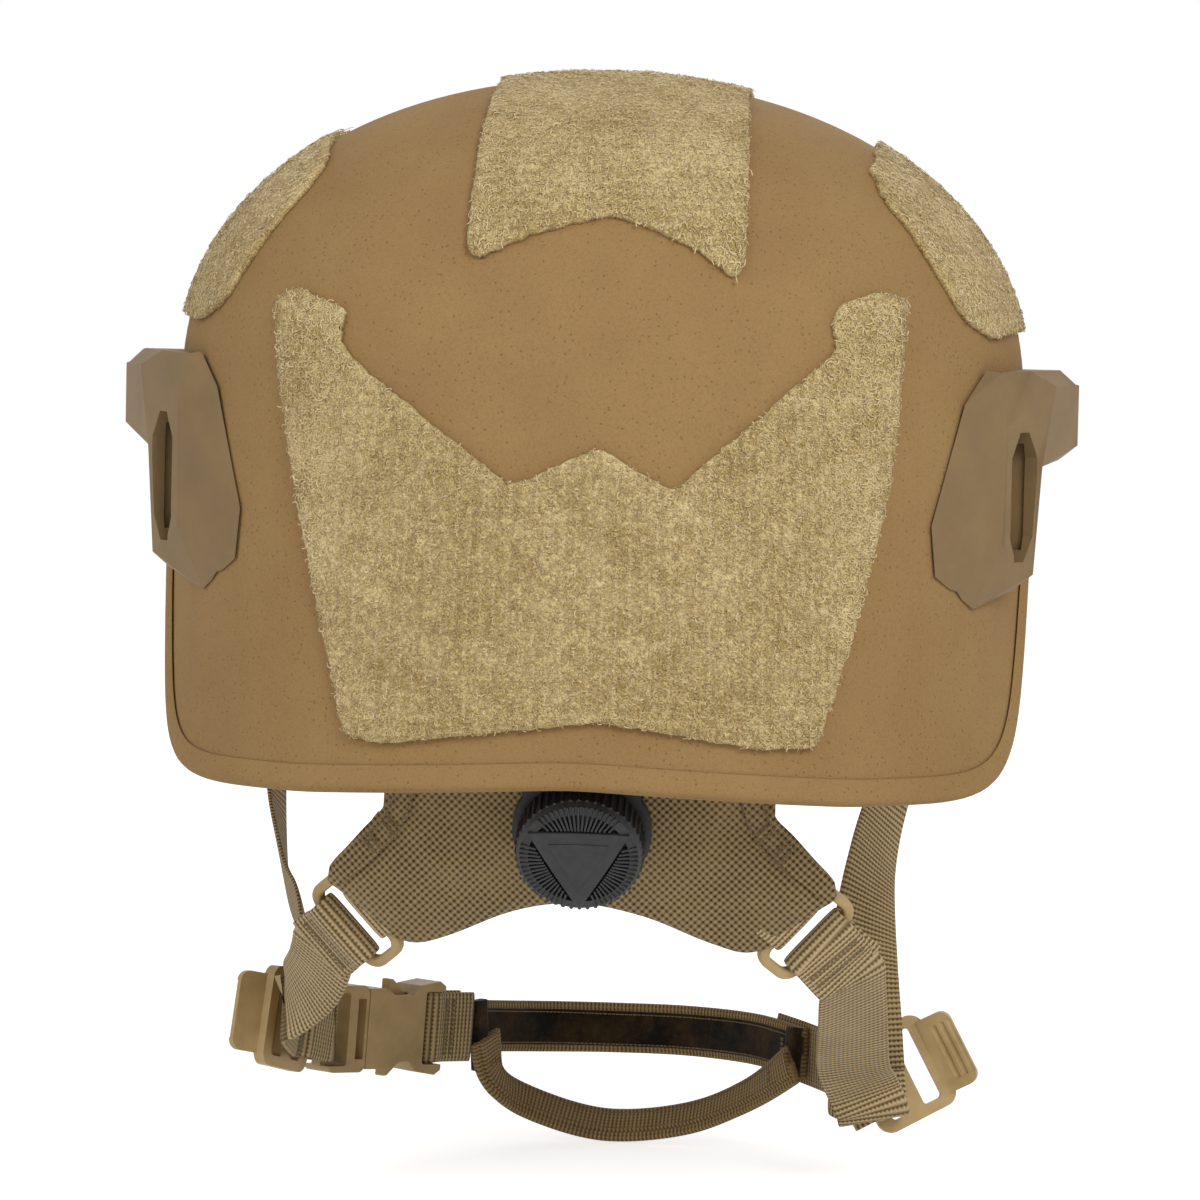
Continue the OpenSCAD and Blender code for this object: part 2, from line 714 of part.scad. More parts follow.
// The dial, in a frame at the foot of its base with z out of the nape pad
dial_x = 1.6;
dial_drop = 34.5;
dial_foot = nape_face(dial_x, nape_top_z - dial_drop) + nape_out * 0.3;
module on_dial() {
  place(dial_foot, [1, 0, 0], nape_out) children();
}
base_r = 18;
base_t = 2.4;
drum_r = 15;
drum_top = 7.2;
drum_wall = 1.9;
floor_z = 1.4;
ear_t = 3.8;
module dial_base() {
  color(black_plastic)
    on_dial()
      difference() {
        union() {
          cylinder(r = base_r, h = base_t, $fn = 96);
          cylinder(r = drum_r, h = drum_top, $fn = 96);
          linear_extrude(height = ear_t) ear_outline();
        }
        difference() {
          translate([0, 0, floor_z]) cylinder(r = drum_r - drum_wall, h = 10, $fn = 96);
          cylinder(r = post_r, h = drum_top, $fn = 48);
        }
        for (side = [-1, 1])
          translate([side * 12, 18, ear_t / 2]) rotate([90, 0, -side * 35]) cylinder(r = 0.95, h = 8, center = true, $fn = 24);
      }
}
// Two ears above the drum lead the lace out
module ear_outline() {
  polygon(both([[5, 15.5], [7, 19], [12, 19.5], [15.5, 15], [15, 8]]));
}
hub_r = 5;
spool_z0 = 1.8;
spool_h = 4.8;
module lace_spool() {
  color(black_plastic)
    on_dial()
      difference() {
        union() {
          translate([0, 0, spool_z0]) cylinder(r = 9, h = spool_h, $fn = 72);
          translate([0, 0, spool_z0]) cylinder(r = 12.4, h = 0.9, $fn = 72);
          translate([0, 0, spool_z0 + spool_h - 0.9]) cylinder(r = 12.4, h = 0.9, $fn = 72);
        }
        translate([0, 0, spool_z0 - 1]) cylinder(r = hub_r + run_gap, h = spool_h + 2, $fn = 64);
      }
}
spindle_r = 3.4;
hub_top = 8.2;
knob_z0 = 4.4;
web_z0 = 8.6;
web_z1 = 11;
module dial_hub() {
  color(steel)
    on_dial()
      difference() {
        union() {
          translate([0, 0, floor_z + 0.3]) cylinder(r = hub_r, h = hub_top - floor_z - 0.3, $fn = 64);
          translate([0, 0, hub_top - 0.01]) cylinder(r = spindle_r, h = web_z1 - hub_top + 0.2, $fn = 48);
        }
        translate([0, 0, floor_z]) cylinder(r = post_r + run_gap, h = drum_top - floor_z + 0.4, $fn = 48);
        cylinder(r = 1.3, h = 30, $fn = 32);
      }
}
module dial_screw() {
  color(steel)
    on_dial()
      difference() {
        union() {
          translate([0, 0, web_z1 + 0.25]) cylinder(r = spindle_r + 1.4, h = 1.5, $fn = 48);
          translate([0, 0, drum_top + 0.5]) cylinder(r = 1.25, h = web_z1 - drum_top, $fn = 32);
        }
        translate([0, 0, web_z1 + 1]) cylinder(r = 1.2, h = 3, $fn = 6);
      }
}
rib_r = 0.55;
module dial_knob() {
  top = knob_z0 + knob_h;
  color(black_plastic)
    on_dial()
      union() {
        rotate_extrude($fn = 96)
          polygon([
            [spindle_r + run_gap, web_z0], [drum_r + 0.5, web_z0], [drum_r + 0.5, knob_z0],
            [knob_r - 0.3, knob_z0], [knob_r, knob_z0 + 1], [knob_r, top - 2.2], [knob_r - 1, top - 0.8],
            [cap_r + 0.6, top - 0.2], [cap_r + 0.3, top - cap_sink - 0.1], [9.5, top - cap_sink - 0.1],
            [9.5, web_z1], [spindle_r + run_gap, web_z1]
          ]);
        for (k = [0:rib_count - 1])
          rotate([0, 0, k * 360 / rib_count])
            translate([knob_r - 0.1, 0, knob_z0 + 0.6]) cylinder(r = rib_r, h = knob_h - 2.6, $fn = 6);
      }
}
// The cap: three smooth lobes between ribbed sectors, with a shallow dished panel
cap_r = 12.4;
cap_sink = 1.4;
module dial_cap() {
  z0 = knob_z0 + knob_h - cap_sink;
  color(black_plastic)
    on_dial()
      difference() {
        union() {
          translate([0, 0, web_z1 + 2.1]) cylinder(r = 9.3, h = z0 - web_z1 - 2.1 + 0.01, $fn = 72);
          translate([0, 0, z0]) linear_extrude(height = 2.2) lobes(cap_r);
        }
        translate([0, 0, z0 + 1.7]) linear_extrude(height = 3) lobes(cap_r * 0.62);
      }
}
module lobes(r) {
  polygon([
    for (k = [0:2], s = [-32, -16, 0, 16, 32])
      let (a = 270 + k * 120 + s, q = r * (abs(s) > 20 ? 0.9 : 1))
      [q * cos(a), q * sin(a)]
  ]);
}

// A smooth line through points chosen by hand
function spline_at(p, i, t) =
  let (
    a = p[max(0, i - 1)],
    b = p[i],
    c = p[min(len(p) - 1, i + 1)],
    d = p[min(len(p) - 1, i + 2)]
  )
  0.5 * ((2 * b) + (c - a) * t + (2 * a - 5 * b + 4 * c - d) * t * t + (3 * b - a - 3 * c + d) * t * t * t);
function spline(p, n) = [
  for (i = [0:len(p) - 2], k = [0:n - 1]) spline_at(p, i, k / n),
  p[len(p) - 1]
];
function heading(p, i) = unit(p[min(len(p) - 1, i + 1)] - p[max(0, i - 1)]);
module cord(path, r, n, sides) {
  p = spline(path, n);
  rings = [
    for (i = [0:len(p) - 1])
      let (t = heading(p, i), a = unit(cross(t, [0, 0, 1])), b = cross(t, a))
      [for (k = [0:sides - 1]) p[i] + a * r * cos(k * 360 / sides) + b * r * sin(k * 360 / sides)]
  ];
  loft(rings);
}

// The laces run from the dial's ears up inside the rim to guides bonded in the shell
lace_r = 0.55;
guide_x = 58;
guide_z = -36;
guide_t = 4.4;
function guide_out(side) = outward(skin_rear(side * guide_x, guide_z));
function guide_point(side) = skin_rear(side * guide_x, guide_z) - guide_out(side) * (wall + guide_t / 2 + 0.5);
guide_lean = 0.3;
function guide_bore(side) = unit(cross(guide_out(side), [side * guide_lean, 0, -1])) * side;
function dial_point(x, y, z) = dial_foot + [x, 0, 0] + nape_up * y + nape_out * z;
function lace_path(side) = [
  dial_point(side * 11.2, 17.1, ear_t / 2), dial_point(side * 14.2, 21.4, ear_t / 2),
  lift(skin_rear(side * 27, -50), -wall - 3.4), lift(skin_rear(side * 40, -43), -wall - 3),
  guide_point(side) - guide_bore(side) * 9, guide_point(side) - guide_bore(side) * 5.6,
  guide_point(side) - guide_bore(side) * 1.5
];
module lace_left() {
  color(black_plastic) cord(lace_path(-1), lace_r, 3, 6);
}
module lace_right() {
  color(black_plastic) cord(lace_path(1), lace_r, 3, 6);
}
module lace_guides() {
  color(black_plastic)
    for (side = [-1, 1])
      place(guide_point(side), guide_bore(side), guide_out(side))
        difference() {
          cube([12, 10, guide_t], center = true);
          rotate([0, 90, 0]) cylinder(r = 1, h = 20, center = true, $fn = 24);
        }
}

// The nape rings hang from webbing tabs on the wings of the nape pad
ring_len = 22;
ring_reach = 15;
ring_bar_w = 2.8;
ring_x = 57;
ring_z = nape_top_z - 62.5;
function ring_out(side) = flip_x(nape_normal(ring_x), side);
function ring_along(side) = flip_x(unit([-0.673, 0.03, -0.74]), side);
function ring_down(side) = flip_x(unit(cross(nape_normal(ring_x), ring_along(1))), side);
function ring_centre(side) =
  nape_face(side * ring_x, ring_z) - ring_out(side) * (nape_t * 0.38) + ring_down(side) * (ring_reach - ring_bar_w) / 2;
module ring(side) {
  place(ring_centre(side), ring_down(side), ring_out(side))
    difference() {
      translate([0, 0, -bar_r]) linear_extrude(height = 2 * bar_r) rounded_plate(ring_reach, ring_len + 6, 5);
      translate([0, 0, -5])
        linear_extrude(height = 10) rounded_plate(ring_reach - 2 * ring_bar_w, ring_len + 0.4, 2.4);
    }
}
module rounded_plate(x, y, r) {
  hx = x / 2 - r;
  hy = y / 2 - r;
  square([2 * hx, y], center = true);
  square([x, 2 * hy], center = true);
  for (sx = [-1, 1], sy = [-1, 1])
    translate([sx * hx, sy * hy]) circle(r = r, $fn = 32);
}
module nape_ring_left() {
  color(tan_plastic) ring(-1);
}
module nape_ring_right() {
  color(tan_plastic) ring(1);
}
function ring_bar(side, s) = ring_centre(side) + ring_down(side) * (s * (ring_reach - ring_bar_w) / 2);
turn_gap = 0.35;
turn_r = norm([ring_bar_w / 2, bar_r]) + turn_gap + web_t / 2;
tab_r = turn_r + 0.4;

// Webbing is lofted through stations, each a point and the direction of its width
function turn_stations(c, d, w, r, hold, tail) =
  let (
    up = cross(w, d),
    shut = r - web_t - 0.12,
    shutting = [[hold + 3, -r * 0.75], [hold + 7, shut * 0.6], [hold + 10, shut], [tail, shut]],
    backs = concat(hold > 0 ? [[hold / 2, -r], [hold, -r]] : [], tail > 0 ? shutting : [])
  )
  concat(
    [for (k = [0:6]) [c + up * (r * cos(30 * k)) + d * (r * sin(30 * k)), w]],
    [for (b = backs) [c + up * b[1] - d * b[0], w]]
  );
function turned_back(stations) = [for (i = [len(stations) - 1:-1:0]) stations[i]];
function path_stations(path, facing, n) =
  let (p = spline(path, n), f = spline(facing, n))
  [for (i = [0:len(p) - 1]) [p[i], unit(cross(heading(p, i), f[i]))]];
module ribbon(stations, width, thick) {
  p = [for (s = stations) s[0]];
  rings = [
    for (i = [0:len(p) - 1])
      let (
        w = stations[i][1],
        up = unit(cross(w, heading(p, i))),
        side = unit(w - (w * heading(p, i)) * heading(p, i)),
        hw = width / 2,
        h = thick / 2,
        e = h * 0.7
      )
      [
        p[i] - side * hw + up * (h - e), p[i] - side * (hw - e) + up * h, p[i] + side * (hw - e) + up * h,
        p[i] + side * hw + up * (h - e), p[i] + side * hw - up * (h - e), p[i] + side * (hw - e) - up * h,
        p[i] - side * (hw - e) - up * h, p[i] - side * hw - up * (h - e)
      ]
  ];
  loft(rings);
}

tab_len = 8;
// Short tabs turn round the rings' upper bars and are sewn behind the nape pad
module ring_tabs() {
  color(tan_cordura)
    for (side = [-1, 1])
      let (c = ring_bar(side, -1), d = ring_down(side), w = ring_along(side), up = cross(w, d))
      ribbon(concat(
        [[c + up * tab_r - d * tab_len, w]],
        [for (k = [0:6]) [c + up * (tab_r * cos(30 * k)) + d * (tab_r * sin(30 * k)), w]],
        [[c - up * tab_r - d * tab_len, w]]
      ), web_w * 0.9, web_t);
}

// An adjuster is a ladder-lock: its three bars cross its own x axis
adj_len = 24;
adj_t = 3.2;
adj_pitch = 9.75;
adj_slot = 5.5;
adj_turn_r = 3.9;
adj_left_at = [-84.9, -14.8, -140.2];
adj_left_x = unit([0.408, 0.883, -0.236]);
adj_left_z = unit([-0.908, 0.419, 0]);
adj_right_at = [85.6, 3.8, -153];
adj_right_x = unit([0.86, 0.2, 0.45]);
adj_right_z = unit([0.155, -0.97, 0.135]);
function square_to(v, x) = unit(v - (v * x) * x);
function bar_dir(x, z) = cross(square_to(z, x), x);

// The rear straps: a turn round the ring, a run forward and down, and the junction
rear_left_run = [[-69.2, -64.5, -112.8], [-73, -53, -122.5], [-78.5, -42, -129.5], [-83, -33, -135]];
rear_left_facing = [[0.54, 0.56, 0.62], [0.62, 0.45, 0.5], [0.78, 0.3, 0.3], [0.96, 0, 0]];
rear_right_run = [[71.8, -69.9, -115.4], [74, -50, -131.5], [75, -24, -149.5], [75.8, -9.5, -159.5], [76, -6.6, -168]];
rear_right_facing = [[-0.52, 0.54, 0.61], [-0.35, 0.65, 0.6], [-0.1, 0.8, 0.5], [0, 1, 0.3], [0, 1, 0]];
function ring_turn(side) =
  turned_back(turn_stations(ring_bar(side, 1), -ring_down(side), -ring_along(side), turn_r, 0, 14));
module rear_strap_left() {
  d = adj_left_x;
  w = bar_dir(adj_left_x, adj_left_z);
  color(tan_web)
    ribbon(concat(
      ring_turn(-1),
      path_stations(rear_left_run, rear_left_facing, 4),
      turn_stations(adj_left_at, d, w, adj_turn_r, adj_len / 2 - 0.6, 0)
    ), web_w, web_t);
}
module rear_strap_right() {
  color(tan_web)
    ribbon(concat(ring_turn(1), path_stations(rear_right_run, rear_right_facing, 4)), web_w, web_t);
}

// The front straps hang from the front rail bolts inside the shell
function bolt_line(side, dz, h) =
  let (b = rail_bolts[1], p = skin_side(side, b[0], b[1] + dz))
  p - outward(p) * (wall + h);
front_web_in = web_gap - 0.05 + web_t / 2;
front_left_path = [
  bolt_line(-1, 9, front_web_in), bolt_line(-1, -5, front_web_in), bolt_line(-1, -16, 3.4),
  [-96.5, 46, -22], [-95.5, 42, -60], [-94, 36, -88], [-88.5, 16, -106], [-82, 0, -114.5], [-78.2, -16, -125],
  [-79.9, -27, -134]
];
front_left_facing = [
  [-1, 0.25, 0], [-1, 0.25, 0], [-1, 0.25, 0], [-1, 0.3, 0], [-1, 0.2, 0], [-1, 0.1, -0.1], [-1, 0, -0.1],
  [-1, 0.1, -0.1], [-0.97, 0.2, -0.1], [-0.95, 0.22, -0.05]
];
front_right_path = [
  bolt_line(1, 9, front_web_in), bolt_line(1, -5, front_web_in), bolt_line(1, -16, 3.4),
  [95, 46, -22], [88, 42, -58], [79, 36, -84], [75.5, 20, -104], [74.5, 4, -124], [75.5, -4, -142],
  [76, -4.4, -166]
];
front_right_facing = [
  [1, 0.25, 0], [1, 0.25, 0], [1, 0.25, 0], [1, 0.1, 0], [1, -0.3, 0], [0.9, -0.6, 0.1], [0.6, -0.8, 0.1],
  [0.3, -0.95, 0.2], [0, -1, 0.1], [0, -1, 0]
];
module front_strap(side, path, facing) {
  color(tan_web)
    difference() {
      ribbon(path_stations(path, facing, 3), web_w, web_t);
      on_bolt(side, 1) cylinder(r = bolt_r + bolt_gap, h = 60, center = true, $fn = 32);
    }
}
module front_strap_left() front_strap(-1, front_left_path, front_left_facing);
module front_strap_right() front_strap(1, front_right_path, front_right_facing);

// A ladder-lock adjuster in its own frame: x down the strap, z out of its face
module adjuster() {
  slot_x = adj_pitch / 2;
  difference() {
    union() {
      translate([0, 0, -adj_t / 2]) linear_extrude(height = adj_t) rounded_plate(adj_len, web_w + 7.6, 4);
      // Ribbed thumb tab, bent away from the webbing
      translate([adj_len / 2 - 2, 0, -0.4])
        rotate([0, -26, 0])
          linear_extrude(height = 2) translate([4.5, 0]) rounded_plate(12, web_w + 2, 3);
    }
    for (s = [-1, 1])
      translate([s * (slot_x + 0.05), 0, -5]) linear_extrude(height = 10) rounded_plate(adj_slot, web_w + 1.6, 1.2);
    for (k = [0:2])
      translate([adj_len / 2 + 1.5 + 2.2 * k, 0, 4.1 + k * 1.07])
        rotate([90, 0, 0]) cylinder(r = 1, h = web_w - 4, center = true, $fn = 16);
  }
}
module adjuster_left() {
  color(tan_plastic) place(adj_left_at, -adj_left_x, adj_left_z) adjuster();
}
module adjuster_right() {
  color(tan_plastic) place(adj_right_at, adj_right_x, adj_right_z) adjuster();
}

// The side-release buckle, in a frame at the shoulder of its socket with x towards the chin
buckle_at = [-68, 14, -146];
buckle_dir = unit([0.62, 0.78, -0.08]);
buckle_face = [-0.78, 0.62, 0];
buckle_w = 24.5;
module on_buckle() {
  place(buckle_at, buckle_dir, buckle_face) children();
}
male_len = 15;
socket_len = 25;
module buckle_male() {
  color(tan_plastic)
    on_buckle()
      difference() {
        union() {
          translate([-male_len / 2 - 0.3, 0, -buckle_t / 2])
            linear_extrude(height = buckle_t) rounded_plate(male_len, buckle_w, 2.5);
          // The centre tongue guides the halves together
          translate([-1, -2.6, -1.6]) cube([17, 5.2, 3.2]);
        }
        translate([-10.4, 0, -10]) linear_extrude(height = 20) rounded_plate(5, web_w + 0.8, 1);
        // The bar is thinner than the frame, so the webbing turns inside its outline
        for (s = [-1, 1])
          translate([-13.5, 0, s * (bar_half_t + 5)]) cube([8, web_w + 0.8, 10], center = true);
        translate([-3, 0, 0]) cube([3.2, 17, 20], center = true);
        for (s = [-1, 1])
          translate([-1.4, s * prong_y, 0]) cube([5.6, 3.4, prong_t + 0.6], center = true);
      }
}
prong_t = 3;
prong_y = 6.4;
module prong(side) {
  on_buckle()
    mirror([0, side < 0 ? 1 : 0, 0])
      translate([0, 0, -prong_t / 2])
        linear_extrude(height = prong_t)
          polygon([
            [-3.6, prong_y - 1.2], [14, prong_y - 0.8], [18.5, prong_y + 1], [18.5, prong_y + 2.6],
            [12.5, prong_y + 7.4], [10.5, prong_y + 7.4], [10.5, prong_y + 2], [3, prong_y + 1.2], [-3.6, prong_y + 1.2]
          ]);
}
module prong_upper() {
  color(tan_plastic) prong(-1);
}
module prong_lower() {
  color(tan_plastic) prong(1);
}
module buckle_female() {
  color(tan_plastic)
    on_buckle()
      difference() {
        union() {
          translate([socket_len / 2, 0, -buckle_t / 2])
            linear_extrude(height = buckle_t)
              polygon([
                [-socket_len / 2, -11.4], [-6, -11.4], [-2, -9.4], [5, -9.4], [8, -12.2], [16, -13.4], [18.5, -12],
                [18.5, 12], [16, 13.4], [8, 12.2], [5, 9.4], [-2, 9.4], [-6, 11.4], [-socket_len / 2, 11.4]
              ]);
        }
        // The socket for the tongue and the prongs, open at the shoulder and at both flanks
        translate([-1, -9.9, -2.1]) cube([21, 19.8, 4.2]);
        for (s = [-1, 1])
          translate([14, s * 11, 0]) cube([7.8, 8, 4.2], center = true);
        translate([25.6, 0, -10]) linear_extrude(height = 20) rounded_plate(5, web_w + 0.8, 1);
        for (s = [-1, 1])
          translate([28.6, 0, s * (bar_half_t + 5)]) cube([8, web_w + 0.8, 10], center = true);
      }
}
function buckle_point(x, z) =
  let (ez = unit(buckle_face - (buckle_face * buckle_dir) * buckle_dir))
  buckle_at + buckle_dir * x + ez * z;
buckle_up = unit(buckle_face - (buckle_face * buckle_dir) * buckle_dir);
male_bar = -14.1;
female_bar = 29.55;
bar_half_t = 1.7;

// A short doubled strip joins the left adjuster to the buckle's bar
buckle_turn_r = 3.4;
buckle_w_dir = cross(buckle_up, buckle_dir);
module side_strap_left() {
  w0 = bar_dir(adj_left_x, adj_left_z);
  c0 = adj_left_at + adj_left_x * adj_pitch;
  c1 = buckle_point(male_bar, 0);
  up0 = cross(w0, adj_left_x);
  up1 = cross(buckle_w_dir, buckle_dir);
  color(tan_web)
    ribbon(concat(
      [[mix(c0, c1, 0.54) - mix(up0, up1, 0.54) * 2.4, unit(mix(w0, buckle_w_dir, 0.54))]],
      [for (k = [0:6])
        [c0 - up0 * (adj_turn_r * cos(30 * k)) - adj_left_x * (adj_turn_r * sin(30 * k)), w0]],
      [for (k = [0:6])
        [c1 + up1 * (buckle_turn_r * cos(30 * k)) + buckle_dir * (buckle_turn_r * sin(30 * k)), buckle_w_dir]],
      [[mix(c0, c1, 0.56) - mix(up0, up1, 0.56) * 2.4, unit(mix(w0, buckle_w_dir, 0.56))]]
    ), web_w * 0.94, web_t);
}

// The tab from the buckle's socket half holds the end of the chin cup between its two legs
tab_in = 2;
band_in = (buckle_turn_r - tab_in) / 2;
module buckle_tab() {
  c = buckle_point(female_bar, 0);
  color(tan_web)
    ribbon(concat(
      [[buckle_point(female_bar + 16, buckle_turn_r), -buckle_w_dir]],
      [for (k = [0:6])
        [c + buckle_up * (buckle_turn_r * cos(30 * k)) - buckle_dir * (buckle_turn_r * sin(30 * k)), -buckle_w_dir]],
      [[buckle_point(female_bar + 5, -tab_in), -buckle_w_dir], [buckle_point(female_bar + 16, -tab_in), -buckle_w_dir]]
    ), web_w, web_t);
}

// The chin cup: a lined band before the chin and one below it, joined at both ends
upper_path = [
  buckle_point(female_bar + 4.5, band_in), buckle_point(female_bar + 17, band_in), [-30, 65, -151.5],
  [-17, 78, -153], [2, 83, -153.5], [24, 77, -153], [44, 60, -152.5], [58, 40, -153.5]
];
upper_facing = [
  buckle_up, buckle_up, [-0.7, 0.7, 0], [-0.5, 0.85, 0], [0, 1, 0.1], [0.5, 0.85, 0.1], [0.78, 0.6, 0], [0.82, 0.57, 0]
];
lower_path = [
  buckle_point(female_bar + 21, band_in - cup_t - 0.9) + [0, 0, -3], [-31.5, 56.5, -165], [-22, 63, -173], [0, 64, -180],
  [24, 60, -177], [42, 50, -167], [54.6, 36.6, -156]
];
lower_facing = [
  [-0.7, 0.65, -0.1], [-0.5, 0.6, -0.6], [-0.3, 0.5, -0.8], [0, 0.4, -0.95], [0.3, 0.5, -0.85], [0.6, 0.5, -0.5],
  [0.82, 0.57, -0.05]
];
cup_w = 15;
module chin_upper_band() {
  color("#2E2417") ribbon(path_stations(upper_path, upper_facing, 4), cup_w, cup_t);
}
module chin_lower_band() {
  color("#67533B") ribbon(path_stations(lower_path, lower_facing, 4), cup_w * 0.8, cup_t);
}

// The right side strap is sewn outside the cup, passes the junction and turns in the adjuster
right_strap_path = [
  [50.3, 57.3, -153], [60.4, 41.8, -154], [67.5, 24, -157], [66.6, 10, -160.5], [67.6, 2.6, -161.8], [71.5, -1.6, -161]
];
right_strap_facing = [
  [-0.82, -0.57, 0], [-0.85, -0.5, 0], [-1, -0.1, 0], [-0.95, -0.3, 0], [-0.6, -0.8, 0], [0, -0.97, 0.06]
];
module side_strap_right() {
  d = adj_right_x;
  w = -bar_dir(adj_right_x, adj_right_z);
  color(tan_web)
    ribbon(concat(
      path_stations(right_strap_path, right_strap_facing, 4),
      turn_stations(adj_right_at - d * adj_pitch, d, w, adj_turn_r, 8, 0)
    ), web_w * 0.9, web_t);
}

shell();
edge_trim();
rear_loop_patch();
top_loop_patch();
side_loop_patch_left();
side_loop_patch_right();
rail_left();
rail_right();
rail_screws();
rail_nuts();
front_shroud();
shroud_screws();
shroud_nuts();
crown_pad();
front_pad();
rear_pad();
side_pad_left();
side_pad_right();
liner_hooks();
nape_pad();
dial_base();
lace_spool();
dial_hub();
dial_knob();
dial_cap();
dial_screw();
lace_left();
lace_right();
lace_guides();
nape_ring_left();
nape_ring_right();
ring_tabs();
rear_strap_left();
rear_strap_right();
front_strap_left();
front_strap_right();
adjuster_left();
adjuster_right();
side_strap_left();
buckle_male();
prong_upper();
prong_lower();
buckle_female();
buckle_tab();
chin_upper_band();
chin_lower_band();
side_strap_right();
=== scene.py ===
import math
import random

import bmesh
import bpy
from mathutils import Matrix, Vector, noise
from mathutils.bvhtree import BVHTree


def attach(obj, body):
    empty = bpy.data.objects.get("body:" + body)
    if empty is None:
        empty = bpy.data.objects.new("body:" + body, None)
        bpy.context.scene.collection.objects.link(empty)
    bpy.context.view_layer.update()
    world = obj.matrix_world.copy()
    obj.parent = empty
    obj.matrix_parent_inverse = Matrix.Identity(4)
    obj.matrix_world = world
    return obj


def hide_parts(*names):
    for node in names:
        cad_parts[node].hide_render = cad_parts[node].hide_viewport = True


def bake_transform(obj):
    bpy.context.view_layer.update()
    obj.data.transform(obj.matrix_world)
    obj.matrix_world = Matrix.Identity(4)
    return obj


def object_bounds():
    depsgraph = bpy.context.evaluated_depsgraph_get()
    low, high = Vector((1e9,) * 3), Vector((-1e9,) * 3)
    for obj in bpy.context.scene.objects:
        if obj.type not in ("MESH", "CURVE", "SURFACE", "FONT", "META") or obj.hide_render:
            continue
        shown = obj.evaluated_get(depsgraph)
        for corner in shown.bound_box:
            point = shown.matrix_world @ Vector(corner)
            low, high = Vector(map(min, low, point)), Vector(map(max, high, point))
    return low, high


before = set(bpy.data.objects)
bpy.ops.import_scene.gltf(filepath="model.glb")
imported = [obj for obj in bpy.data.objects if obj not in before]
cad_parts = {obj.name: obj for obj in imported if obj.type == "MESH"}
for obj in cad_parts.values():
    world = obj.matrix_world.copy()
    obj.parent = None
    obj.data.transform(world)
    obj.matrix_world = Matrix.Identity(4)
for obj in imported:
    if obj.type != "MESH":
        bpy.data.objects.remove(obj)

cad_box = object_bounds()

# Camera
# The helmet is looked at from behind, a little from its right and from just
# above the rim. The picture is turned slightly, so the right side sits lower.
AZIMUTH, ELEVATION, ROLL = math.radians(3.0), math.radians(3.5), math.radians(1.35)
DISTANCE = 1.5
FRAME_WIDTH = 1 / 3
SENSOR = 36
SHIFT_X, SHIFT_Y = -4 / 1200, 9 / 1200
aim = Vector((0, 0, -0.025))
away = Vector((
    math.sin(AZIMUTH) * math.cos(ELEVATION),
    -math.cos(AZIMUTH) * math.cos(ELEVATION),
    math.sin(ELEVATION),
))
camera = bpy.data.objects.new("camera", bpy.data.cameras.new("camera"))
bpy.context.collection.objects.link(camera)
camera.data.sensor_width = SENSOR
camera.data.lens = SENSOR * DISTANCE / FRAME_WIDTH
camera.data.shift_x, camera.data.shift_y = SHIFT_X, SHIFT_Y
camera.data.clip_start = 0.01
camera.matrix_world = (
    Matrix.Translation(aim + away * DISTANCE)
    @ away.to_track_quat("Z", "Y").to_matrix().to_4x4()
    @ Matrix.Rotation(ROLL, 4, "Z")
)
bpy.context.scene.camera = camera

# Floor and light
# A white table under the chin band and an even studio light: a wide lamp over
# each shoulder of the camera, a weaker one behind, and a white room round them.
bpy.context.scene.view_settings.view_transform = "Standard"


def linear(colour):
    """An sRGB hex colour as the linear values a shader takes."""
    parts = [int(colour[i:i + 2], 16) / 255 for i in (1, 3, 5)]
    return [c / 12.92 if c <= 0.04045 else ((c + 0.055) / 1.055) ** 2.4 for c in parts] + [1.0]


def plug(tree, node, links):
    """Gives a node's sockets their values or other nodes' outputs."""
    for socket, value in links.items():
        if isinstance(value, bpy.types.NodeSocket):
            tree.links.new(value, node.inputs[socket])
        else:
            node.inputs[socket].default_value = value


def add(tree, kind, links, stops=(), **settings):
    """A shader node with its links and settings, and the colour stops of a ramp."""
    made = tree.nodes.new("ShaderNode" + kind)
    for key, value in settings.items():
        setattr(made, key, value)
    for k, (at, colour) in enumerate(stops):
        made.color_ramp.elements[k].position, made.color_ramp.elements[k].color = at, linear(colour)
    plug(tree, made, links)
    return made


def as_mesh(bm, name):
    """A finished bmesh as a mesh of its own."""
    mesh = bpy.data.meshes.new(name)
    bm.to_mesh(mesh)
    bm.free()
    return mesh


def backdrop(tree, plain, seen, output):
    """One look for the light, and another for the camera and for reflections."""
    path = add(tree, "LightPath", {})
    looked_at = add(tree, "Math", {0: path.outputs["Is Camera Ray"], 1: path.outputs["Is Glossy Ray"]},
                    operation="MAXIMUM")
    pick = add(tree, "MixShader", {0: looked_at.outputs[0], 1: plain.outputs[0], 2: seen.outputs[0]})
    add(tree, output, {"Surface": pick.outputs[0]})


TABLE_GAP, TABLE_GLOW, ROOM_LIGHT = 0.0005, 0.66, 0.41
bm = bmesh.new()
bmesh.ops.create_grid(bm, x_segments=1, y_segments=1, size=6)
bmesh.ops.translate(bm, verts=bm.verts, vec=(0, 0, cad_box[0][2] - TABLE_GAP))
floor = bpy.data.objects.new("floor", as_mesh(bm, "floor"))
bpy.context.collection.objects.link(floor)
table = bpy.data.materials.new("white_table")
table.use_nodes = True
tree = table.node_tree
tree.nodes.clear()
matt = add(tree, "BsdfDiffuse", {"Color": linear("#F6F6F6")})
glow = add(tree, "Emission", {"Color": linear("#FFFFFF"), "Strength": TABLE_GLOW})
both = add(tree, "AddShader", {0: matt.outputs[0], 1: glow.outputs[0]})
backdrop(tree, matt, both, "OutputMaterial")
floor.data.materials.append(table)

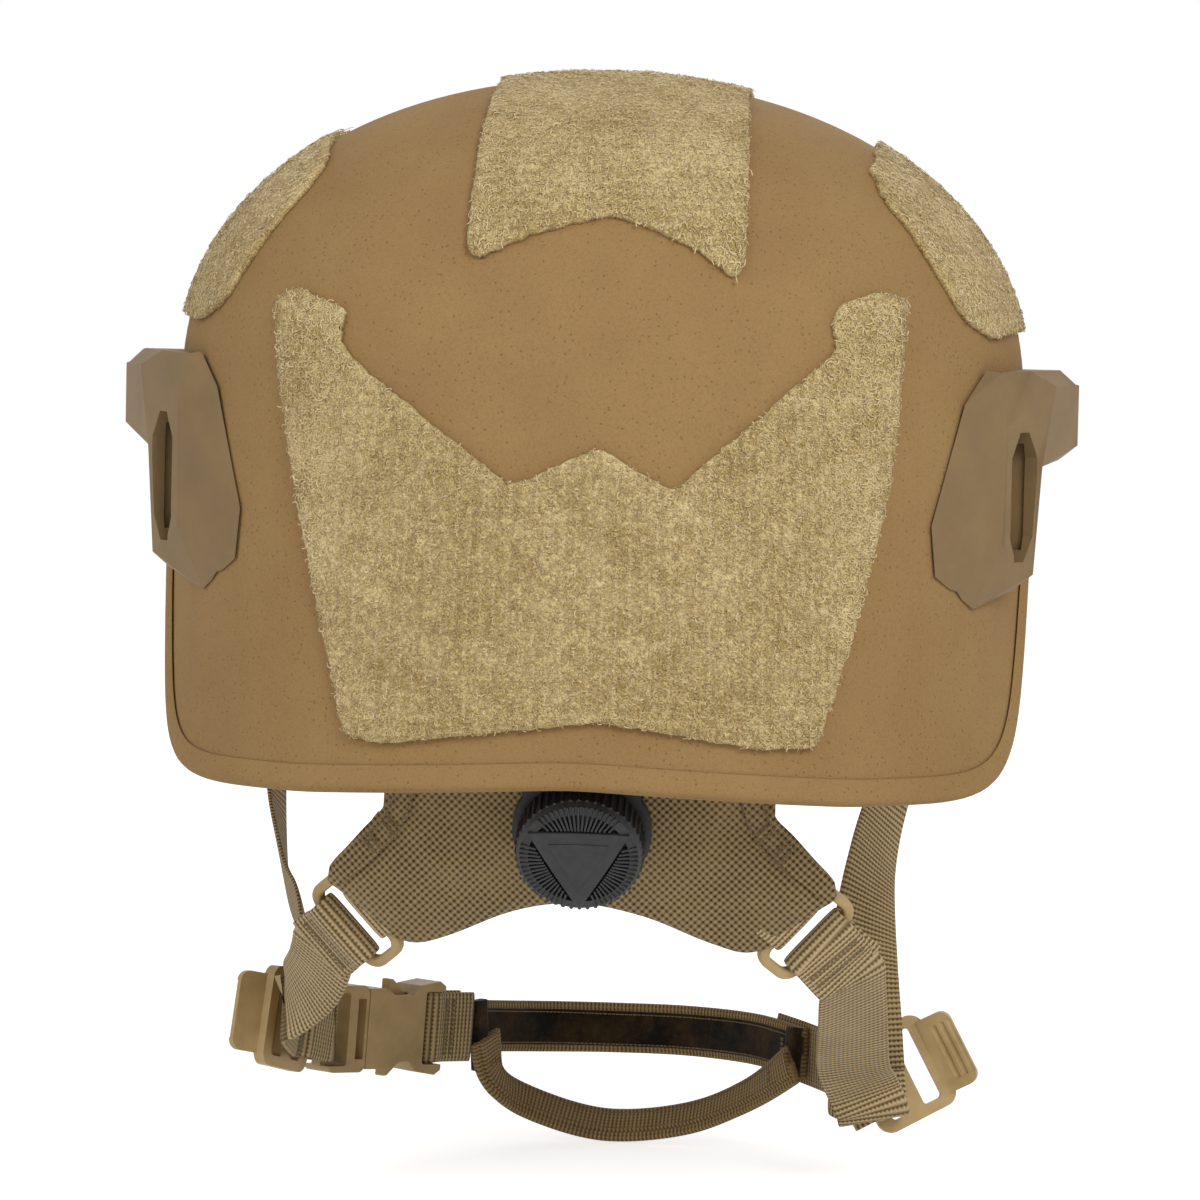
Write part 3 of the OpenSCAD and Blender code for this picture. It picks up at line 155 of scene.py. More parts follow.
world = bpy.data.worlds.new("studio")
bpy.context.scene.world = world
world.use_nodes = True
tree = world.node_tree
tree.nodes.clear()
room = add(tree, "Background", {"Color": linear("#FFFFFF"), "Strength": ROOM_LIGHT})
white = add(tree, "Background", {"Color": linear("#FFFFFF"), "Strength": 1.0})
backdrop(tree, room, white, "OutputWorld")

for name, place, size, power in (
    ("lamp_right", (0.9, -1.5, 1.1), 0.9, 15.0),
    ("lamp_left", (-1.3, -1.2, 0.9), 1.1, 6.4),
    ("lamp_front", (0.2, 1.7, 1.0), 1.2, 3.4),
):
    light = bpy.data.lights.new(name, "AREA")
    light.size = size
    light.energy = power
    lamp = bpy.data.objects.new(name, light)
    bpy.context.collection.objects.link(lamp)
    lamp.location = place
    lamp.rotation_euler = (Vector(place) - aim).to_track_quat("Z", "Y").to_euler()

# Shell
# A pressed laminate of ballistic fibre, about 9 mm thick. It is sprayed with a
# matt textured paint that carries fine sand for grip, so it looks grainy.


def piece(bm, name, body="helmet", smooth=True):
    """A finished mesh as an object at the origin that rides on its body."""
    made = bpy.data.objects.new(name, as_mesh(bm, name))
    if smooth:
        made.data.shade_smooth()
    else:
        made.data.shade_flat()
    bpy.context.collection.objects.link(made)
    if body:
        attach(made, body)
    return made


def merged(node):
    """A copy of a CAD node's loose triangles, joined up again."""
    bm = bmesh.new()
    bm.from_mesh(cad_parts[node].data)
    bmesh.ops.remove_doubles(bm, verts=bm.verts, dist=2e-5)
    return bm


def squares(bm):
    """Pairs of triangles back to the squares they were cut from."""
    bmesh.ops.join_triangles(
        bm, faces=bm.faces, cmp_seam=False, cmp_sharp=False, cmp_uvs=False, cmp_vcols=False,
        cmp_materials=False, angle_face_threshold=math.radians(50), angle_shape_threshold=math.radians(60),
    )


def shown(target):
    """The mesh that a piece shows, with its modifiers at work."""
    bpy.context.view_layer.update()
    return bpy.data.meshes.new_from_object(target.evaluated_get(bpy.context.evaluated_depsgraph_get()))


def skin_of(mesh):
    """A mesh's surface, to find points on it."""
    bm = bmesh.new()
    bm.from_mesh(mesh)
    skin = BVHTree.FromBMesh(bm)
    bm.free()
    return skin


def soften(target, levels):
    """A subdivision surface, shown as it is rendered."""
    sub = target.modifiers.new("smooth", "SUBSURF")
    sub.levels = sub.render_levels = levels


def finish(name):
    """A new material: its nodes, its principled shader, and the coordinates for patterns on the piece."""
    made = bpy.data.materials.new(name)
    made.use_nodes = True
    tree = made.node_tree
    return made, tree, tree.nodes["Principled BSDF"], add(tree, "TexCoord", {}).outputs["Object"]


def dress(target, material, node=None):
    """Gives a piece its only material, and hides the CAD node that it stands for."""
    if node:
        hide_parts(node)
    target.data.materials.clear()
    target.data.materials.append(material)


bm = merged("shell")
squares(bm)
shell = piece(bm, "shell_smooth")
soften(shell, 2)

# Sand-textured matt paint over laminate: dull, no clear highlight, grains of
# about 0.6 mm that catch the light, a few pits with painted shade in their hollows, and faint clouds of tone.
GRAIN = 0.0006
PITS = 0.0018
MOTTLE = 0.035
paint, tree, shader, place = finish("sand_textured_paint")
grain = add(tree, "TexNoise", {"Vector": place, "Scale": 1 / GRAIN, "Detail": 3.0, "Roughness": 0.6})
pits = add(tree, "TexVoronoi", {"Vector": place, "Scale": 1 / PITS, "Randomness": 1.0})
mottle = add(tree, "TexNoise", {"Vector": place, "Scale": 1 / MOTTLE, "Detail": 4.0, "Roughness": 0.55})
tone = add(tree, "ValToRGB", {0: mottle.outputs["Fac"]}, stops=((0.3, "#A28053"), (0.72, "#AC8B5B")))
speck = add(tree, "ValToRGB", {0: grain.outputs["Fac"]}, stops=((0.34, "#F0EFED"), (0.55, "#FFFFFF")))
spotted = add(tree, "Mix", {"Factor": 1.0, "A": tone.outputs["Color"], "B": speck.outputs["Color"]},
              data_type="RGBA", blend_type="MULTIPLY")
# Painted shade in the pits: the colour darkens towards each pit's hollow, where the bump dips
dots = add(tree, "MapRange", {0: pits.outputs["Distance"], 1: 0.08, 2: 0.2, 3: 0.62, 4: 1.0})
pits_shaded = add(tree, "Mix", {"Factor": 1.0, "A": spotted.outputs[2], "B": dots.outputs[0]},
             data_type="RGBA", blend_type="MULTIPLY")
dips = add(tree, "MapRange", {0: pits.outputs["Distance"], 1: 0.0, 2: 0.34, 3: 0.0, 4: 1.0})
height = add(tree, "Math", {0: grain.outputs["Fac"], 1: dips.outputs[0]}, operation="ADD")
bump = add(tree, "Bump", {"Height": height.outputs[0], "Strength": 0.55, "Distance": 0.00022})
plug(tree, shader, {"Base Color": pits_shaded.outputs[2], "Normal": bump.outputs[0], "Roughness": 0.8,
                    "Specular IOR Level": 0.18})
dress(shell, paint, "shell")

# Edge trim
# A soft moulded strip of U section, pushed over the whole rim of the shell and
# bonded there. It is matt and has the shell's colour, so only its seam shows.
bm = merged("edge_trim")
squares(bm)
trim = piece(bm, "edge_trim_smooth")
soften(trim, 2)

# Textured rubber, sprayed with the shell's own colour: the same grain and tone,
# but softer, so its grain is shallower
rubber = paint.copy()
rubber.name = "textured_rubber_trim"
rubber.node_tree.nodes["Bump"].inputs["Strength"].default_value = 0.4
dress(trim, rubber, "edge_trim")

# Loop patches
# Four fields of brushed nylon loop, cut from sheet and glued to the shell. The
# loops lie every way, and the cut edges are frayed.
MM = 0.001
PILE_T = 2.2 * MM
GROUND_T = 0.72 * PILE_T
GLUE = 0.15 * MM
PILE_GRID = 2.0 * MM
FRAY, FRAY_WAVE = 0.7 * MM, 1 / 700
RIPPLE, RIPPLE_WAVE = 0.04 * PILE_T, 1 / 150
LOOP_R, LOOP_THREAD, LOOP_SIDES, LOOP_STEPS, LOOP_ROWS = 0.78 * MM, 0.14 * MM, 3, 3, 8
TILE = 10 * MM
random.seed(4)

shell_skin = shown(shell)
outside = skin_of(shell_skin)
bpy.data.meshes.remove(shell_skin)


def repeated(copies):
    """One bmesh with each small mesh copied to its place."""
    bm = bmesh.new()
    for pattern, place in copies:
        start = len(bm.verts)
        bm.from_mesh(pattern)
        bm.verts.ensure_lookup_table()
        for v in bm.verts[start:]:
            v.co = place @ v.co
    return bm


def closed(bm):
    """Closes a swept tube's ends and turns its faces outwards."""
    bmesh.ops.holes_fill(bm, edges=[e for e in bm.edges if e.is_boundary], sides=0)
    bmesh.ops.recalc_face_normals(bm, faces=bm.faces)
    return bm


def loop_tile():
    """A small flat field of brushed loops, lying every way, with z as their height."""
    one = bmesh.new()
    ring = bmesh.ops.create_circle(one, segments=LOOP_SIDES, radius=LOOP_THREAD)["verts"]
    bmesh.ops.rotate(one, verts=ring, matrix=Matrix.Rotation(math.pi / 2, 3, "X"))
    bmesh.ops.translate(one, verts=ring, vec=(LOOP_R, 0, 0))
    bmesh.ops.spin(one, geom=one.verts[:] + one.edges[:], cent=(0, 0, 0), axis=(0, -1, 0),
                   angle=math.radians(170), steps=LOOP_STEPS, use_merge=False, use_duplicate=False)
    mesh = as_mesh(closed(one), "one_loop")
    places = []
    for k in range(LOOP_ROWS * LOOP_ROWS):
        lean = Matrix.Rotation(random.choice((-1, 1)) * random.uniform(0.9, 1.5), 4, "X")
        turn = Matrix.Rotation(random.uniform(0, 2 * math.pi), 4, "Z")
        size = Matrix.Diagonal((random.uniform(0.7, 1.4), 1, random.uniform(0.6, 1.3), 1))
        spot = [(cell + random.uniform(0.1, 0.9)) * TILE / LOOP_ROWS for cell in divmod(k, LOOP_ROWS)]
        at = Matrix.Translation((spot[0], spot[1], random.uniform(0.0, 0.3) * MM))
        places.append(at @ turn @ lean @ size)
    tile = as_mesh(repeated([(mesh, place) for place in places]), "loop_tile")
    bpy.data.meshes.remove(mesh)
    return tile


tiles = [loop_tile() for k in range(4)]


def cut_shape(outline, corner):
    """A flat sheet with the outline in mm, its corners rounded, cut into small squares."""
    bm = bmesh.new()
    bm.faces.new([bm.verts.new((x * MM, y * MM, 0)) for x, y in outline])
    bmesh.ops.bevel(bm, geom=bm.verts[:], offset=corner * MM, offset_type="OFFSET", segments=4, profile=0.5,
                    affect="VERTICES", material=-1, clamp_overlap=True)
    for axis in (0, 1):
        low = min(v.co[axis] for v in bm.verts)
        high = max(v.co[axis] for v in bm.verts)
        for k in range(1, int((high - low) / PILE_GRID)):
            at, normal = [0, 0, 0], [0, 0, 0]
            at[axis], normal[axis] = low + k * PILE_GRID, 1
            bmesh.ops.bisect_plane(bm, geom=bm.verts[:] + bm.edges[:] + bm.faces[:],
                                   plane_co=at, plane_no=normal)
    bmesh.ops.remove_doubles(bm, verts=bm.verts, dist=0.2 * MM)
    return bm


def thicken(bm, height):
    """Turns a flat sheet's faces up and raises a copy of it, each point by its own height."""
    bmesh.ops.recalc_face_normals(bm, faces=bm.faces)
    if bm.faces[0].normal.z < 0:
        bmesh.ops.reverse_faces(bm, faces=bm.faces)
    grown = bmesh.ops.extrude_face_region(bm, geom=bm.faces[:])["geom"]
    for v in [g for g in grown if isinstance(g, bmesh.types.BMVert)]:
        v.co.z = height(v.co)
    bmesh.ops.recalc_face_normals(bm, faces=bm.faces)


def lay_on(bm, view, lift, skin=outside):
    """Moves a flat sheet's points on to a skin, seen from one side, each by its own height."""
    for v in bm.verts:
        hit, normal = skin.ray_cast(view @ Vector((v.co.x, v.co.y, 0)), -view.col[2].xyz)[:2]
        if hit is not None:
            v.co = hit + normal * (v.co.z + lift)


def pile_patch(node, outline, view, corner=3):
    """A patch of pile: its backing sheet laid on the shell, and loops over its face and round its edge."""
    bm = cut_shape(outline, corner)
    flat = BVHTree.FromBMesh(bm)
    for v in bm.verts:
        if v.is_boundary:
            at = v.co / FRAY_WAVE
            v.co += Vector((noise.noise(at + Vector((9, 0, 0))), noise.noise(at), 0)) * FRAY
    bounds = [min(v.co.x for v in bm.verts), max(v.co.x for v in bm.verts),
              min(v.co.y for v in bm.verts), max(v.co.y for v in bm.verts)]
    thicken(bm, lambda at: GROUND_T + RIPPLE * noise.noise(at / RIPPLE_WAVE))
    lay_on(bm, view, GLUE)
    sheet = piece(bm, node + "_backing")

    columns = int((bounds[1] - bounds[0]) / TILE) + 1
    rows = int((bounds[3] - bounds[2]) / TILE) + 1
    bm = repeated([
        (tiles[(i * 7 + j * 3) % 4], Matrix.Translation((bounds[0] + i * TILE, bounds[2] + j * TILE, 0)))
        for i in range(columns) for j in range(rows)
    ])
    per_loop = LOOP_SIDES * (LOOP_STEPS + 1)
    bm.verts.ensure_lookup_table()
    away = []
    for k in range(0, len(bm.verts), per_loop):
        loop = bm.verts[k:k + per_loop]
        middle = sum((v.co for v in loop), Vector()) / per_loop
        if flat.ray_cast(Vector((middle.x, middle.y, 0.01)), Vector((0, 0, -1)))[0] is None:
            away += loop
    bmesh.ops.delete(bm, geom=away, context="VERTS")
    lay_on(bm, view, GLUE + GROUND_T)
    return sheet, piece(bm, node + "_loops", smooth=False)


# Brushed nylon loop: matt with a soft sheen. Its fibres are drawn 0.35 mm thick, coarser than real
# ones so that they show, and lie in swirls of some 5 mm, under faint clouds a few cm across
FIBRE = 0.00035
SWIRL = 0.005
CLOUD = 0.03
pile, tree, shader, place = finish("brushed_nylon_loop")
swirl = add(tree, "TexNoise", {"Vector": place, "Scale": 1 / SWIRL, "Detail": 3.0, "Distortion": 1.2})
lying = [add(tree, "Mapping", {"Vector": place, "Rotation": turn, "Scale": (FIBRE, FIBRE, 4 * FIBRE)},
             vector_type="TEXTURE") for turn in ((0.9, 0.7, 0.0), (-0.9, 0.6, 0.0), (0.3, -1.0, 0.0))]
hairs = [add(tree, "TexNoise", {"Vector": way.outputs[0], "Scale": 1.0, "Detail": 1.0, "Distortion": 0.6})
         for way in lying]
pair = add(tree, "Math", {0: hairs[0].outputs["Fac"], 1: hairs[1].outputs["Fac"]}, operation="MAXIMUM")
fibre = add(tree, "Math", {0: pair.outputs[0], 1: hairs[2].outputs["Fac"]}, operation="MAXIMUM")
cloud = add(tree, "TexNoise", {"Vector": place, "Scale": 1 / CLOUD, "Detail": 3.0, "Roughness": 0.6})
strands = add(tree, "Math", {0: swirl.outputs["Fac"], 1: 0.3, 2: fibre.outputs[0]}, operation="MULTIPLY_ADD")
mixed = add(tree, "Math", {0: cloud.outputs["Fac"], 1: 0.25, 2: strands.outputs[0]}, operation="MULTIPLY_ADD")
tone = add(tree, "MapRange", {0: mixed.outputs[0], 1: 0.68, 2: 1.08, 3: 0.0, 4: 1.0})
colour = add(tree, "ValToRGB", {0: tone.outputs[0]}, stops=((0.15, "#987C44"), (0.85, "#EFDAA4")))
bump = add(tree, "Bump", {"Height": strands.outputs[0], "Strength": 0.45, "Distance": 0.0003})
plug(tree, shader, {"Base Color": colour.outputs["Color"], "Normal": bump.outputs[0], "Roughness": 0.95,
                    "Specular IOR Level": 0.15, "Sheen Weight": 0.08, "Sheen Roughness": 0.5})

# The loops' own yarn, painted paler than the ground round them: painted light on the tops of the pile,
# against painted shade on the ground among the loops
lit_pile_tips, tree, shader, place = finish("brushed_nylon_loop_lit_tips")
cloud = add(tree, "TexNoise", {"Vector": place, "Scale": 1 / CLOUD, "Detail": 4.0, "Roughness": 0.6})
tone = add(tree, "ValToRGB", {0: cloud.outputs["Fac"]}, stops=((0.3, "#DCC697"), (0.7, "#EAD8AE")))
plug(tree, shader, {"Base Color": tone.outputs["Color"], "Roughness": 0.9, "Specular IOR Level": 0.15,
                    "Sheen Weight": 0.08})

# Where each outline is drawn from: a plane well off the shell, with its z away from it
FAR_OFF = 0.4
from_rear = Matrix(((1, 0, 0, 0), (0, 0, -1, -FAR_OFF), (0, 1, 0, 0), (0, 0, 0, 1)))
from_top = Matrix.Translation((0, 0, FAR_OFF))
from_left = Matrix(((0, 0, -1, -FAR_OFF), (-1, 0, 0, 0), (0, 1, 0, 0), (0, 0, 0, 1)))
from_right = Matrix(((0, 0, 1, FAR_OFF), (1, 0, 0, 0), (0, 1, 0, 0), (0, 0, 0, 1)))
rear_outline = [
    (-80, 59), (-74, 62), (-60, 57), (-62, 51), (-60, 46), (-17, 14), (5, 24), (24, 13.5),
    (64, 50), (62, 57), (64, 61), (73, 64), (81, 63), (78, 17), (69, -24), (61, -51), (48, -51.5),
    (32, -49), (7, -45), (-23, -49), (-49, -52.5), (-58, -51), (-64, -27), (-72, 8), (-77, 36),
]
top_outline = [
    (-30, -128), (-27, -130), (6, -124), (37, -129.5), (40, -128), (40, -112), (38, -60), (37, 62),
    (33, 66), (4, 55), (-26, 66), (-30, 62), (-28, -60),
]
side_outline = [
    (-80, 53), (-92, 58), (-94, 72), (-89, 88), (-78, 96), (-58, 101), (-15, 104), (8, 101),
    (34, 88), (38, 76), (22, 57), (-15, 55), (-55, 55),
]
for node, outline, view, corner in (
    ("rear_loop_patch", rear_outline, from_rear, 2.5),
    ("top_loop_patch", top_outline, from_top, 2.5),
    ("side_loop_patch_left", [(-y, z) for y, z in side_outline], from_left, 4),
    ("side_loop_patch_right", side_outline, from_right, 4),
):
    sheet, loops = pile_patch(node, outline, view, corner)
    dress(sheet, pile, node)
    dress(loops, lit_pile_tips)
for tile in tiles:
    bpy.data.meshes.remove(tile)

# Rails and shroud
# Two accessory rails and the front shroud, injection moulded in glass-filled
# nylon. Edges are lightly rounded, faces carry a fine spark-eroded texture.


def moulded(node, body, material, width, sharp=32, segments=2):
    """A CAD solid with its flat faces made whole and its edges rounded as a mould leaves them."""
    bm = merged(node)
    bmesh.ops.dissolve_limit(bm, angle_limit=math.radians(1.5), use_dissolve_boundaries=False,
                             verts=bm.verts, edges=bm.edges, delimit=set())
    made = piece(bm, node + "_moulded", body)
    round_off = made.modifiers.new("rounding", "BEVEL")
    round_off.width = width
    round_off.segments = segments
    round_off.limit_method = "ANGLE"
    round_off.angle_limit = math.radians(sharp)
    round_off.harden_normals = True
    made.data.set_sharp_from_angle(angle=math.radians(sharp))
    dress(made, material, node)


def mould_finish(name, dark, pale, roughness, grain=0.0005):
    """A moulded plastic: spark-eroded grain, flow mottling and edges rubbed paler."""
    made, tree, shader, place = finish(name)
    mottle = add(tree, "TexNoise", {"Vector": place, "Scale": 1 / 0.014, "Detail": 4.0, "Roughness": 0.6})
    fine = add(tree, "TexNoise", {"Vector": place, "Scale": 1 / grain, "Detail": 2.0})
    tone = add(tree, "ValToRGB", {0: mottle.outputs["Fac"]}, stops=((0.3, dark), (0.72, pale)))
    edge = add(tree, "NewGeometry", {})
    rubbed = add(tree, "MapRange", {0: edge.outputs["Pointiness"], 1: 0.51, 2: 0.57, 3: 0.0, 4: 0.18})
    worn = add(tree, "Mix", {"Factor": rubbed.outputs[0], "A": tone.outputs["Color"], "B": linear("#C6AE86")},
               data_type="RGBA")
    bump = add(tree, "Bump", {"Height": fine.outputs["Fac"], "Strength": 0.4, "Distance": 0.00008})
    plug(tree, shader, {"Base Color": worn.outputs[2], "Normal": bump.outputs[0], "Roughness": roughness,
                        "Specular IOR Level": 0.3})
    return made


rail_nylon = mould_finish("glass_filled_nylon_rail", "#705735", "#84683F", 0.6)
for node in ("rail_left", "rail_right", "front_shroud"):
    moulded(node, "helmet", rail_nylon, 0.45 * MM, sharp=9)

# A thin web closes the slot in each rear leg towards the front, so it looks dark
SLOT_WEB = Vector((8, 1.2, 31)) * MM
SLOT_WEB_AT, SLOT_WEB_TURN = Vector((111, -70.4, 12)) * MM, math.radians(12)
for side, name in ((-1, "left"), (1, "right")):
    bm = bmesh.new()
    bmesh.ops.create_cube(bm, size=1)
    bmesh.ops.scale(bm, verts=bm.verts, vec=SLOT_WEB)
    bmesh.ops.bevel(bm, geom=bm.edges[:], offset=0.3 * MM, offset_type="OFFSET", segments=2, profile=0.5,
                    affect="EDGES", material=-1)
    spot = Matrix.Translation((side * SLOT_WEB_AT.x, SLOT_WEB_AT.y, SLOT_WEB_AT.z))
    bmesh.ops.transform(bm, matrix=spot @ Matrix.Rotation(-side * SLOT_WEB_TURN, 4, "Z"), verts=bm.verts)
    web = piece(bm, "rail_slot_web_" + name, smooth=False)
    dress(web, rail_nylon)

# Bolts and nuts
# Steel bolts with socket heads and flanged nuts, blackened in a hot oxide bath
# and oiled, so they are dark, half glossy and brown where the oxide is thin.
oxide, tree, shader, place = finish("black_oxide_steel")
film = add(tree, "TexNoise", {"Vector": place, "Scale": 1 / 0.003, "Detail": 5.0, "Roughness": 0.65})
tone = add(tree, "ValToRGB", {0: film.outputs["Fac"]}, stops=((0.35, "#39383A"), (0.8, "#5C5652")))
turning = add(tree, "TexNoise", {"Vector": place, "Scale": 1 / 0.0005, "Detail": 2.0})
bump = add(tree, "Bump", {"Height": turning.outputs["Fac"], "Strength": 0.25, "Distance": 0.00005})
plug(tree, shader, {"Base Color": tone.outputs["Color"], "Normal": bump.outputs[0], "Metallic": 0.9,
                    "Roughness": 0.42})
for node in ("rail_screws", "rail_nuts", "shroud_screws", "shroud_nuts"):
    moulded(node, "helmet", oxide, 0.25 * MM)

# Liner
# Five comfort pads: soft foam sealed in a brushed knit skin that clings to the
# hook sheets glued inside the shell. They are black, matt and a little puffy.
PUFF = 2.5 * MM
CLOTH_STEPS = 20


def bake(target):
    """Fixes what the modifiers do in the mesh."""
    mesh = shown(target)
    target.modifiers.clear()
    target.data = mesh


def inflated(node, shrink, voxel, most):
    """A padded copy of a CAD solid: its skin blown up a little as cloth, never further than most."""
    bm = merged(node)
    bmesh.ops.recalc_face_normals(bm, faces=bm.faces)
    made = piece(bm, node + "_padded", None)
    if voxel:
        even = made.modifiers.new("even", "REMESH")
        even.mode = "VOXEL"
        even.voxel_size = voxel
        bake(made)
    bm = bmesh.new()
    bm.from_mesh(made.data)
    if voxel:
        bmesh.ops.smooth_vert(bm, verts=bm.verts, factor=0.5,
                              use_axis_x=True, use_axis_y=True, use_axis_z=True)
    else:
        squares(bm)
        bmesh.ops.subdivide_edges(bm, edges=bm.edges, cuts=1, use_grid_fill=True, smooth=0.6)
    for v in bm.verts:
        v.co -= v.normal * shrink
    rest = [v.co.copy() for v in bm.verts]
    bm.to_mesh(made.data)
    bm.free()
    cloth = made.modifiers.new("cloth", "CLOTH")
    cloth.settings.use_pressure = True
    cloth.settings.uniform_pressure_force = 4
    cloth.settings.effector_weights.gravity = 0
    cloth.settings.tension_stiffness = 15
    cloth.settings.compression_stiffness = 15
    cloth.settings.bending_stiffness = 0.5
    cloth.point_cache.frame_start = 1
    cloth.point_cache.frame_end = CLOTH_STEPS
    for step in range(1, CLOTH_STEPS + 1):
        bpy.context.scene.frame_set(step)
    bake(made)
    bpy.context.scene.frame_set(1)
    for v, start in zip(made.data.vertices, rest):
        moved = v.co - start
        if moved.length > most:
            v.co = start + moved * (most / moved.length)
    made.data.shade_smooth()
    soften(made, 1)
    return made


# Brushed knit: charcoal, very matt, with a grey bloom of sheen; its loops are drawn 1.1 mm apart to show
knit, tree, shader, place = finish("brushed_knit_black")
loops = add(tree, "TexVoronoi", {"Vector": place, "Scale": 1 / 0.0011})
fuzz = add(tree, "TexNoise", {"Vector": place, "Scale": 1 / 0.0006, "Detail": 3.0, "Roughness": 0.7})
cloud = add(tree, "TexNoise", {"Vector": place, "Scale": 1 / 0.02, "Detail": 3.0})
mixed = add(tree, "Math", {0: fuzz.outputs["Fac"], 1: 0.6, 2: cloud.outputs["Fac"]}, operation="MULTIPLY_ADD")
tone = add(tree, "ValToRGB", {0: mixed.outputs[0]}, stops=((0.5, "#1B1B1C"), (1.0, "#39393A")))
bump = add(tree, "Bump", {"Height": loops.outputs["Distance"], "Strength": 0.6, "Distance": 0.0003})
plug(tree, shader, {"Base Color": tone.outputs["Color"], "Normal": bump.outputs[0], "Roughness": 0.95,
                    "Specular IOR Level": 0.15, "Sheen Weight": 0.3})
for node in ("crown_pad", "front_pad", "rear_pad", "side_pad_left", "side_pad_right"):
    pad = inflated(node, 0.8 * MM, 4.5 * MM, PUFF)
    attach(pad, "helmet")
    dress(pad, knit, node)

# Hook sheet: woven nylon with rows of tiny cut hooks 1.2 mm apart, glued inside the shell
HOOK_PITCH = 0.0012
hook_nylon, tree, shader, place = finish("woven_nylon_hook")
rows = add(tree, "TexVoronoi", {"Vector": place, "Scale": 1 / HOOK_PITCH, "Randomness": 0.35})
# The hooks are painted paler than the ground between them: painted light on the hooks and painted shade
# between the rows
tone = add(tree, "ValToRGB", {0: rows.outputs["Distance"]}, stops=((0.1, "#3A3A3C"), (0.6, "#161617")))
bump = add(tree, "Bump", {"Height": rows.outputs["Distance"], "Strength": 0.8, "Distance": 0.0006},
           invert=True)
plug(tree, shader, {"Base Color": tone.outputs["Color"], "Normal": bump.outputs[0], "Roughness": 0.8})
moulded("liner_hooks", "helmet", hook_nylon, 0.3 * MM)

# Nape pad
# A padded sling that hugs the back of the neck: coarse nylon over foam, sewn
# round the edge, with two wings that carry the chin strap's rings.
nape = inflated("nape_pad", 0.5 * MM, 0, 1.4 * MM)
# The wings' lower ends hang further out and down: it begins at this x and z, and is full an edge's width on
WING_X, WING_X_EDGE, WING_Z, WING_Z_EDGE = 38 * MM, 9 * MM, -76 * MM, 14 * MM
for v in nape.data.vertices:
    out = max(0.0, min(1.0, (abs(v.co.x) - WING_X) / WING_X_EDGE))
    low = max(0.0, min(1.0, (WING_Z - v.co.z) / WING_Z_EDGE))
    hang = Vector((math.copysign(3.2, v.co.x), 1.4, -6.0)) * MM
    v.co += hang * (out * low)
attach(nape, "helmet")

# Coarse plain-woven nylon: yarns 1 mm wide, so the weave repeats every 2.1 mm;
# matt, with single paler yarns, painted shade in the gaps and painted light on the high threads.
WEAVE = 0.0021


def woven(tree, across, along, pitch):
    """Height of a plain weave from two distances in metres: over and under, yarn by yarn."""
    waves = []
    for value in (across, along):
        phase = add(tree, "Math", {0: value, 1: 2 * math.pi / pitch}, operation="MULTIPLY")
        waves.append(add(tree, "Math", {0: phase.outputs[0]}, operation="SINE").outputs[0])
    over = add(tree, "Math", {0: waves[0], 1: waves[1]}, operation="MULTIPLY")
    return add(tree, "Math", {0: over.outputs[0], 1: 0.5, 2: 0.5}, operation="MULTIPLY_ADD").outputs[0]


coarse_nylon, tree, shader, place = finish("coarse_woven_nylon")
wobble = add(tree, "TexNoise", {"Vector": place, "Scale": 1 / 0.006, "Detail": 2.0})
shifted = add(tree, "VectorMath", {0: wobble.outputs["Color"], 1: (0.0007,) * 3}, operation="MULTIPLY")
bent = add(tree, "VectorMath", {0: place, 1: shifted.outputs[0]}, operation="ADD")
axes = add(tree, "SeparateXYZ", {0: bent.outputs[0]})
height = woven(tree, axes.outputs[0], axes.outputs[2], WEAVE)
yarn = add(tree, "TexNoise", {"Vector": place, "Scale": 1 / 0.0008, "Detail": 3.0, "Roughness": 0.7})
cloud = add(tree, "TexNoise", {"Vector": place, "Scale": 1 / 0.016, "Detail": 3.0})
# The weave's height is mixed into the colour: painted shade in the gaps, painted light on the high threads
mixed = add(tree, "Math", {0: yarn.outputs["Fac"], 1: 0.55, 2: height}, operation="MULTIPLY_ADD")
mixed = add(tree, "Math", {0: cloud.outputs["Fac"], 1: 0.4, 2: mixed.outputs[0]}, operation="MULTIPLY_ADD")
spread = add(tree, "MapRange", {0: mixed.outputs[0], 1: 0.45, 2: 1.35})
tone = add(tree, "ValToRGB", {0: spread.outputs[0]}, stops=((0.08, "#3B2C16"), (0.9, "#B2986A")))
bump = add(tree, "Bump", {"Height": height, "Strength": 0.8, "Distance": 0.0004})
plug(tree, shader, {"Base Color": tone.outputs["Color"], "Normal": bump.outputs[0], "Roughness": 0.85,
                    "Specular IOR Level": 0.25, "Sheen Weight": 0.15})
dress(nape, coarse_nylon, "nape_pad")

# The cover is folded over each wing's upper edge in a flap, which is sewn down
FLAP_T = 1.2 * MM
nape_skin = skin_of(nape.data)
flap_outline = [(46.6, -58), (50, -71.8), (56.4, -79.6), (60.4, -84), (64, -87.8), (66, -91), (62.8, -94),
                (58.8, -90.4), (54.2, -87), (48.6, -80.4), (43.8, -73.6), (40.4, -60)]
for side, name in ((-1, "left"), (1, "right")):
    bm = cut_shape([(side * x, z) for x, z in flap_outline], 1.2)
    thicken(bm, lambda at: FLAP_T)
    lay_on(bm, from_rear, 0.1 * MM, nape_skin)
    flap = piece(bm, "nape_flap_" + name)
    flap.data.set_sharp_from_angle(angle=math.radians(50))
    dress(flap, coarse_nylon)

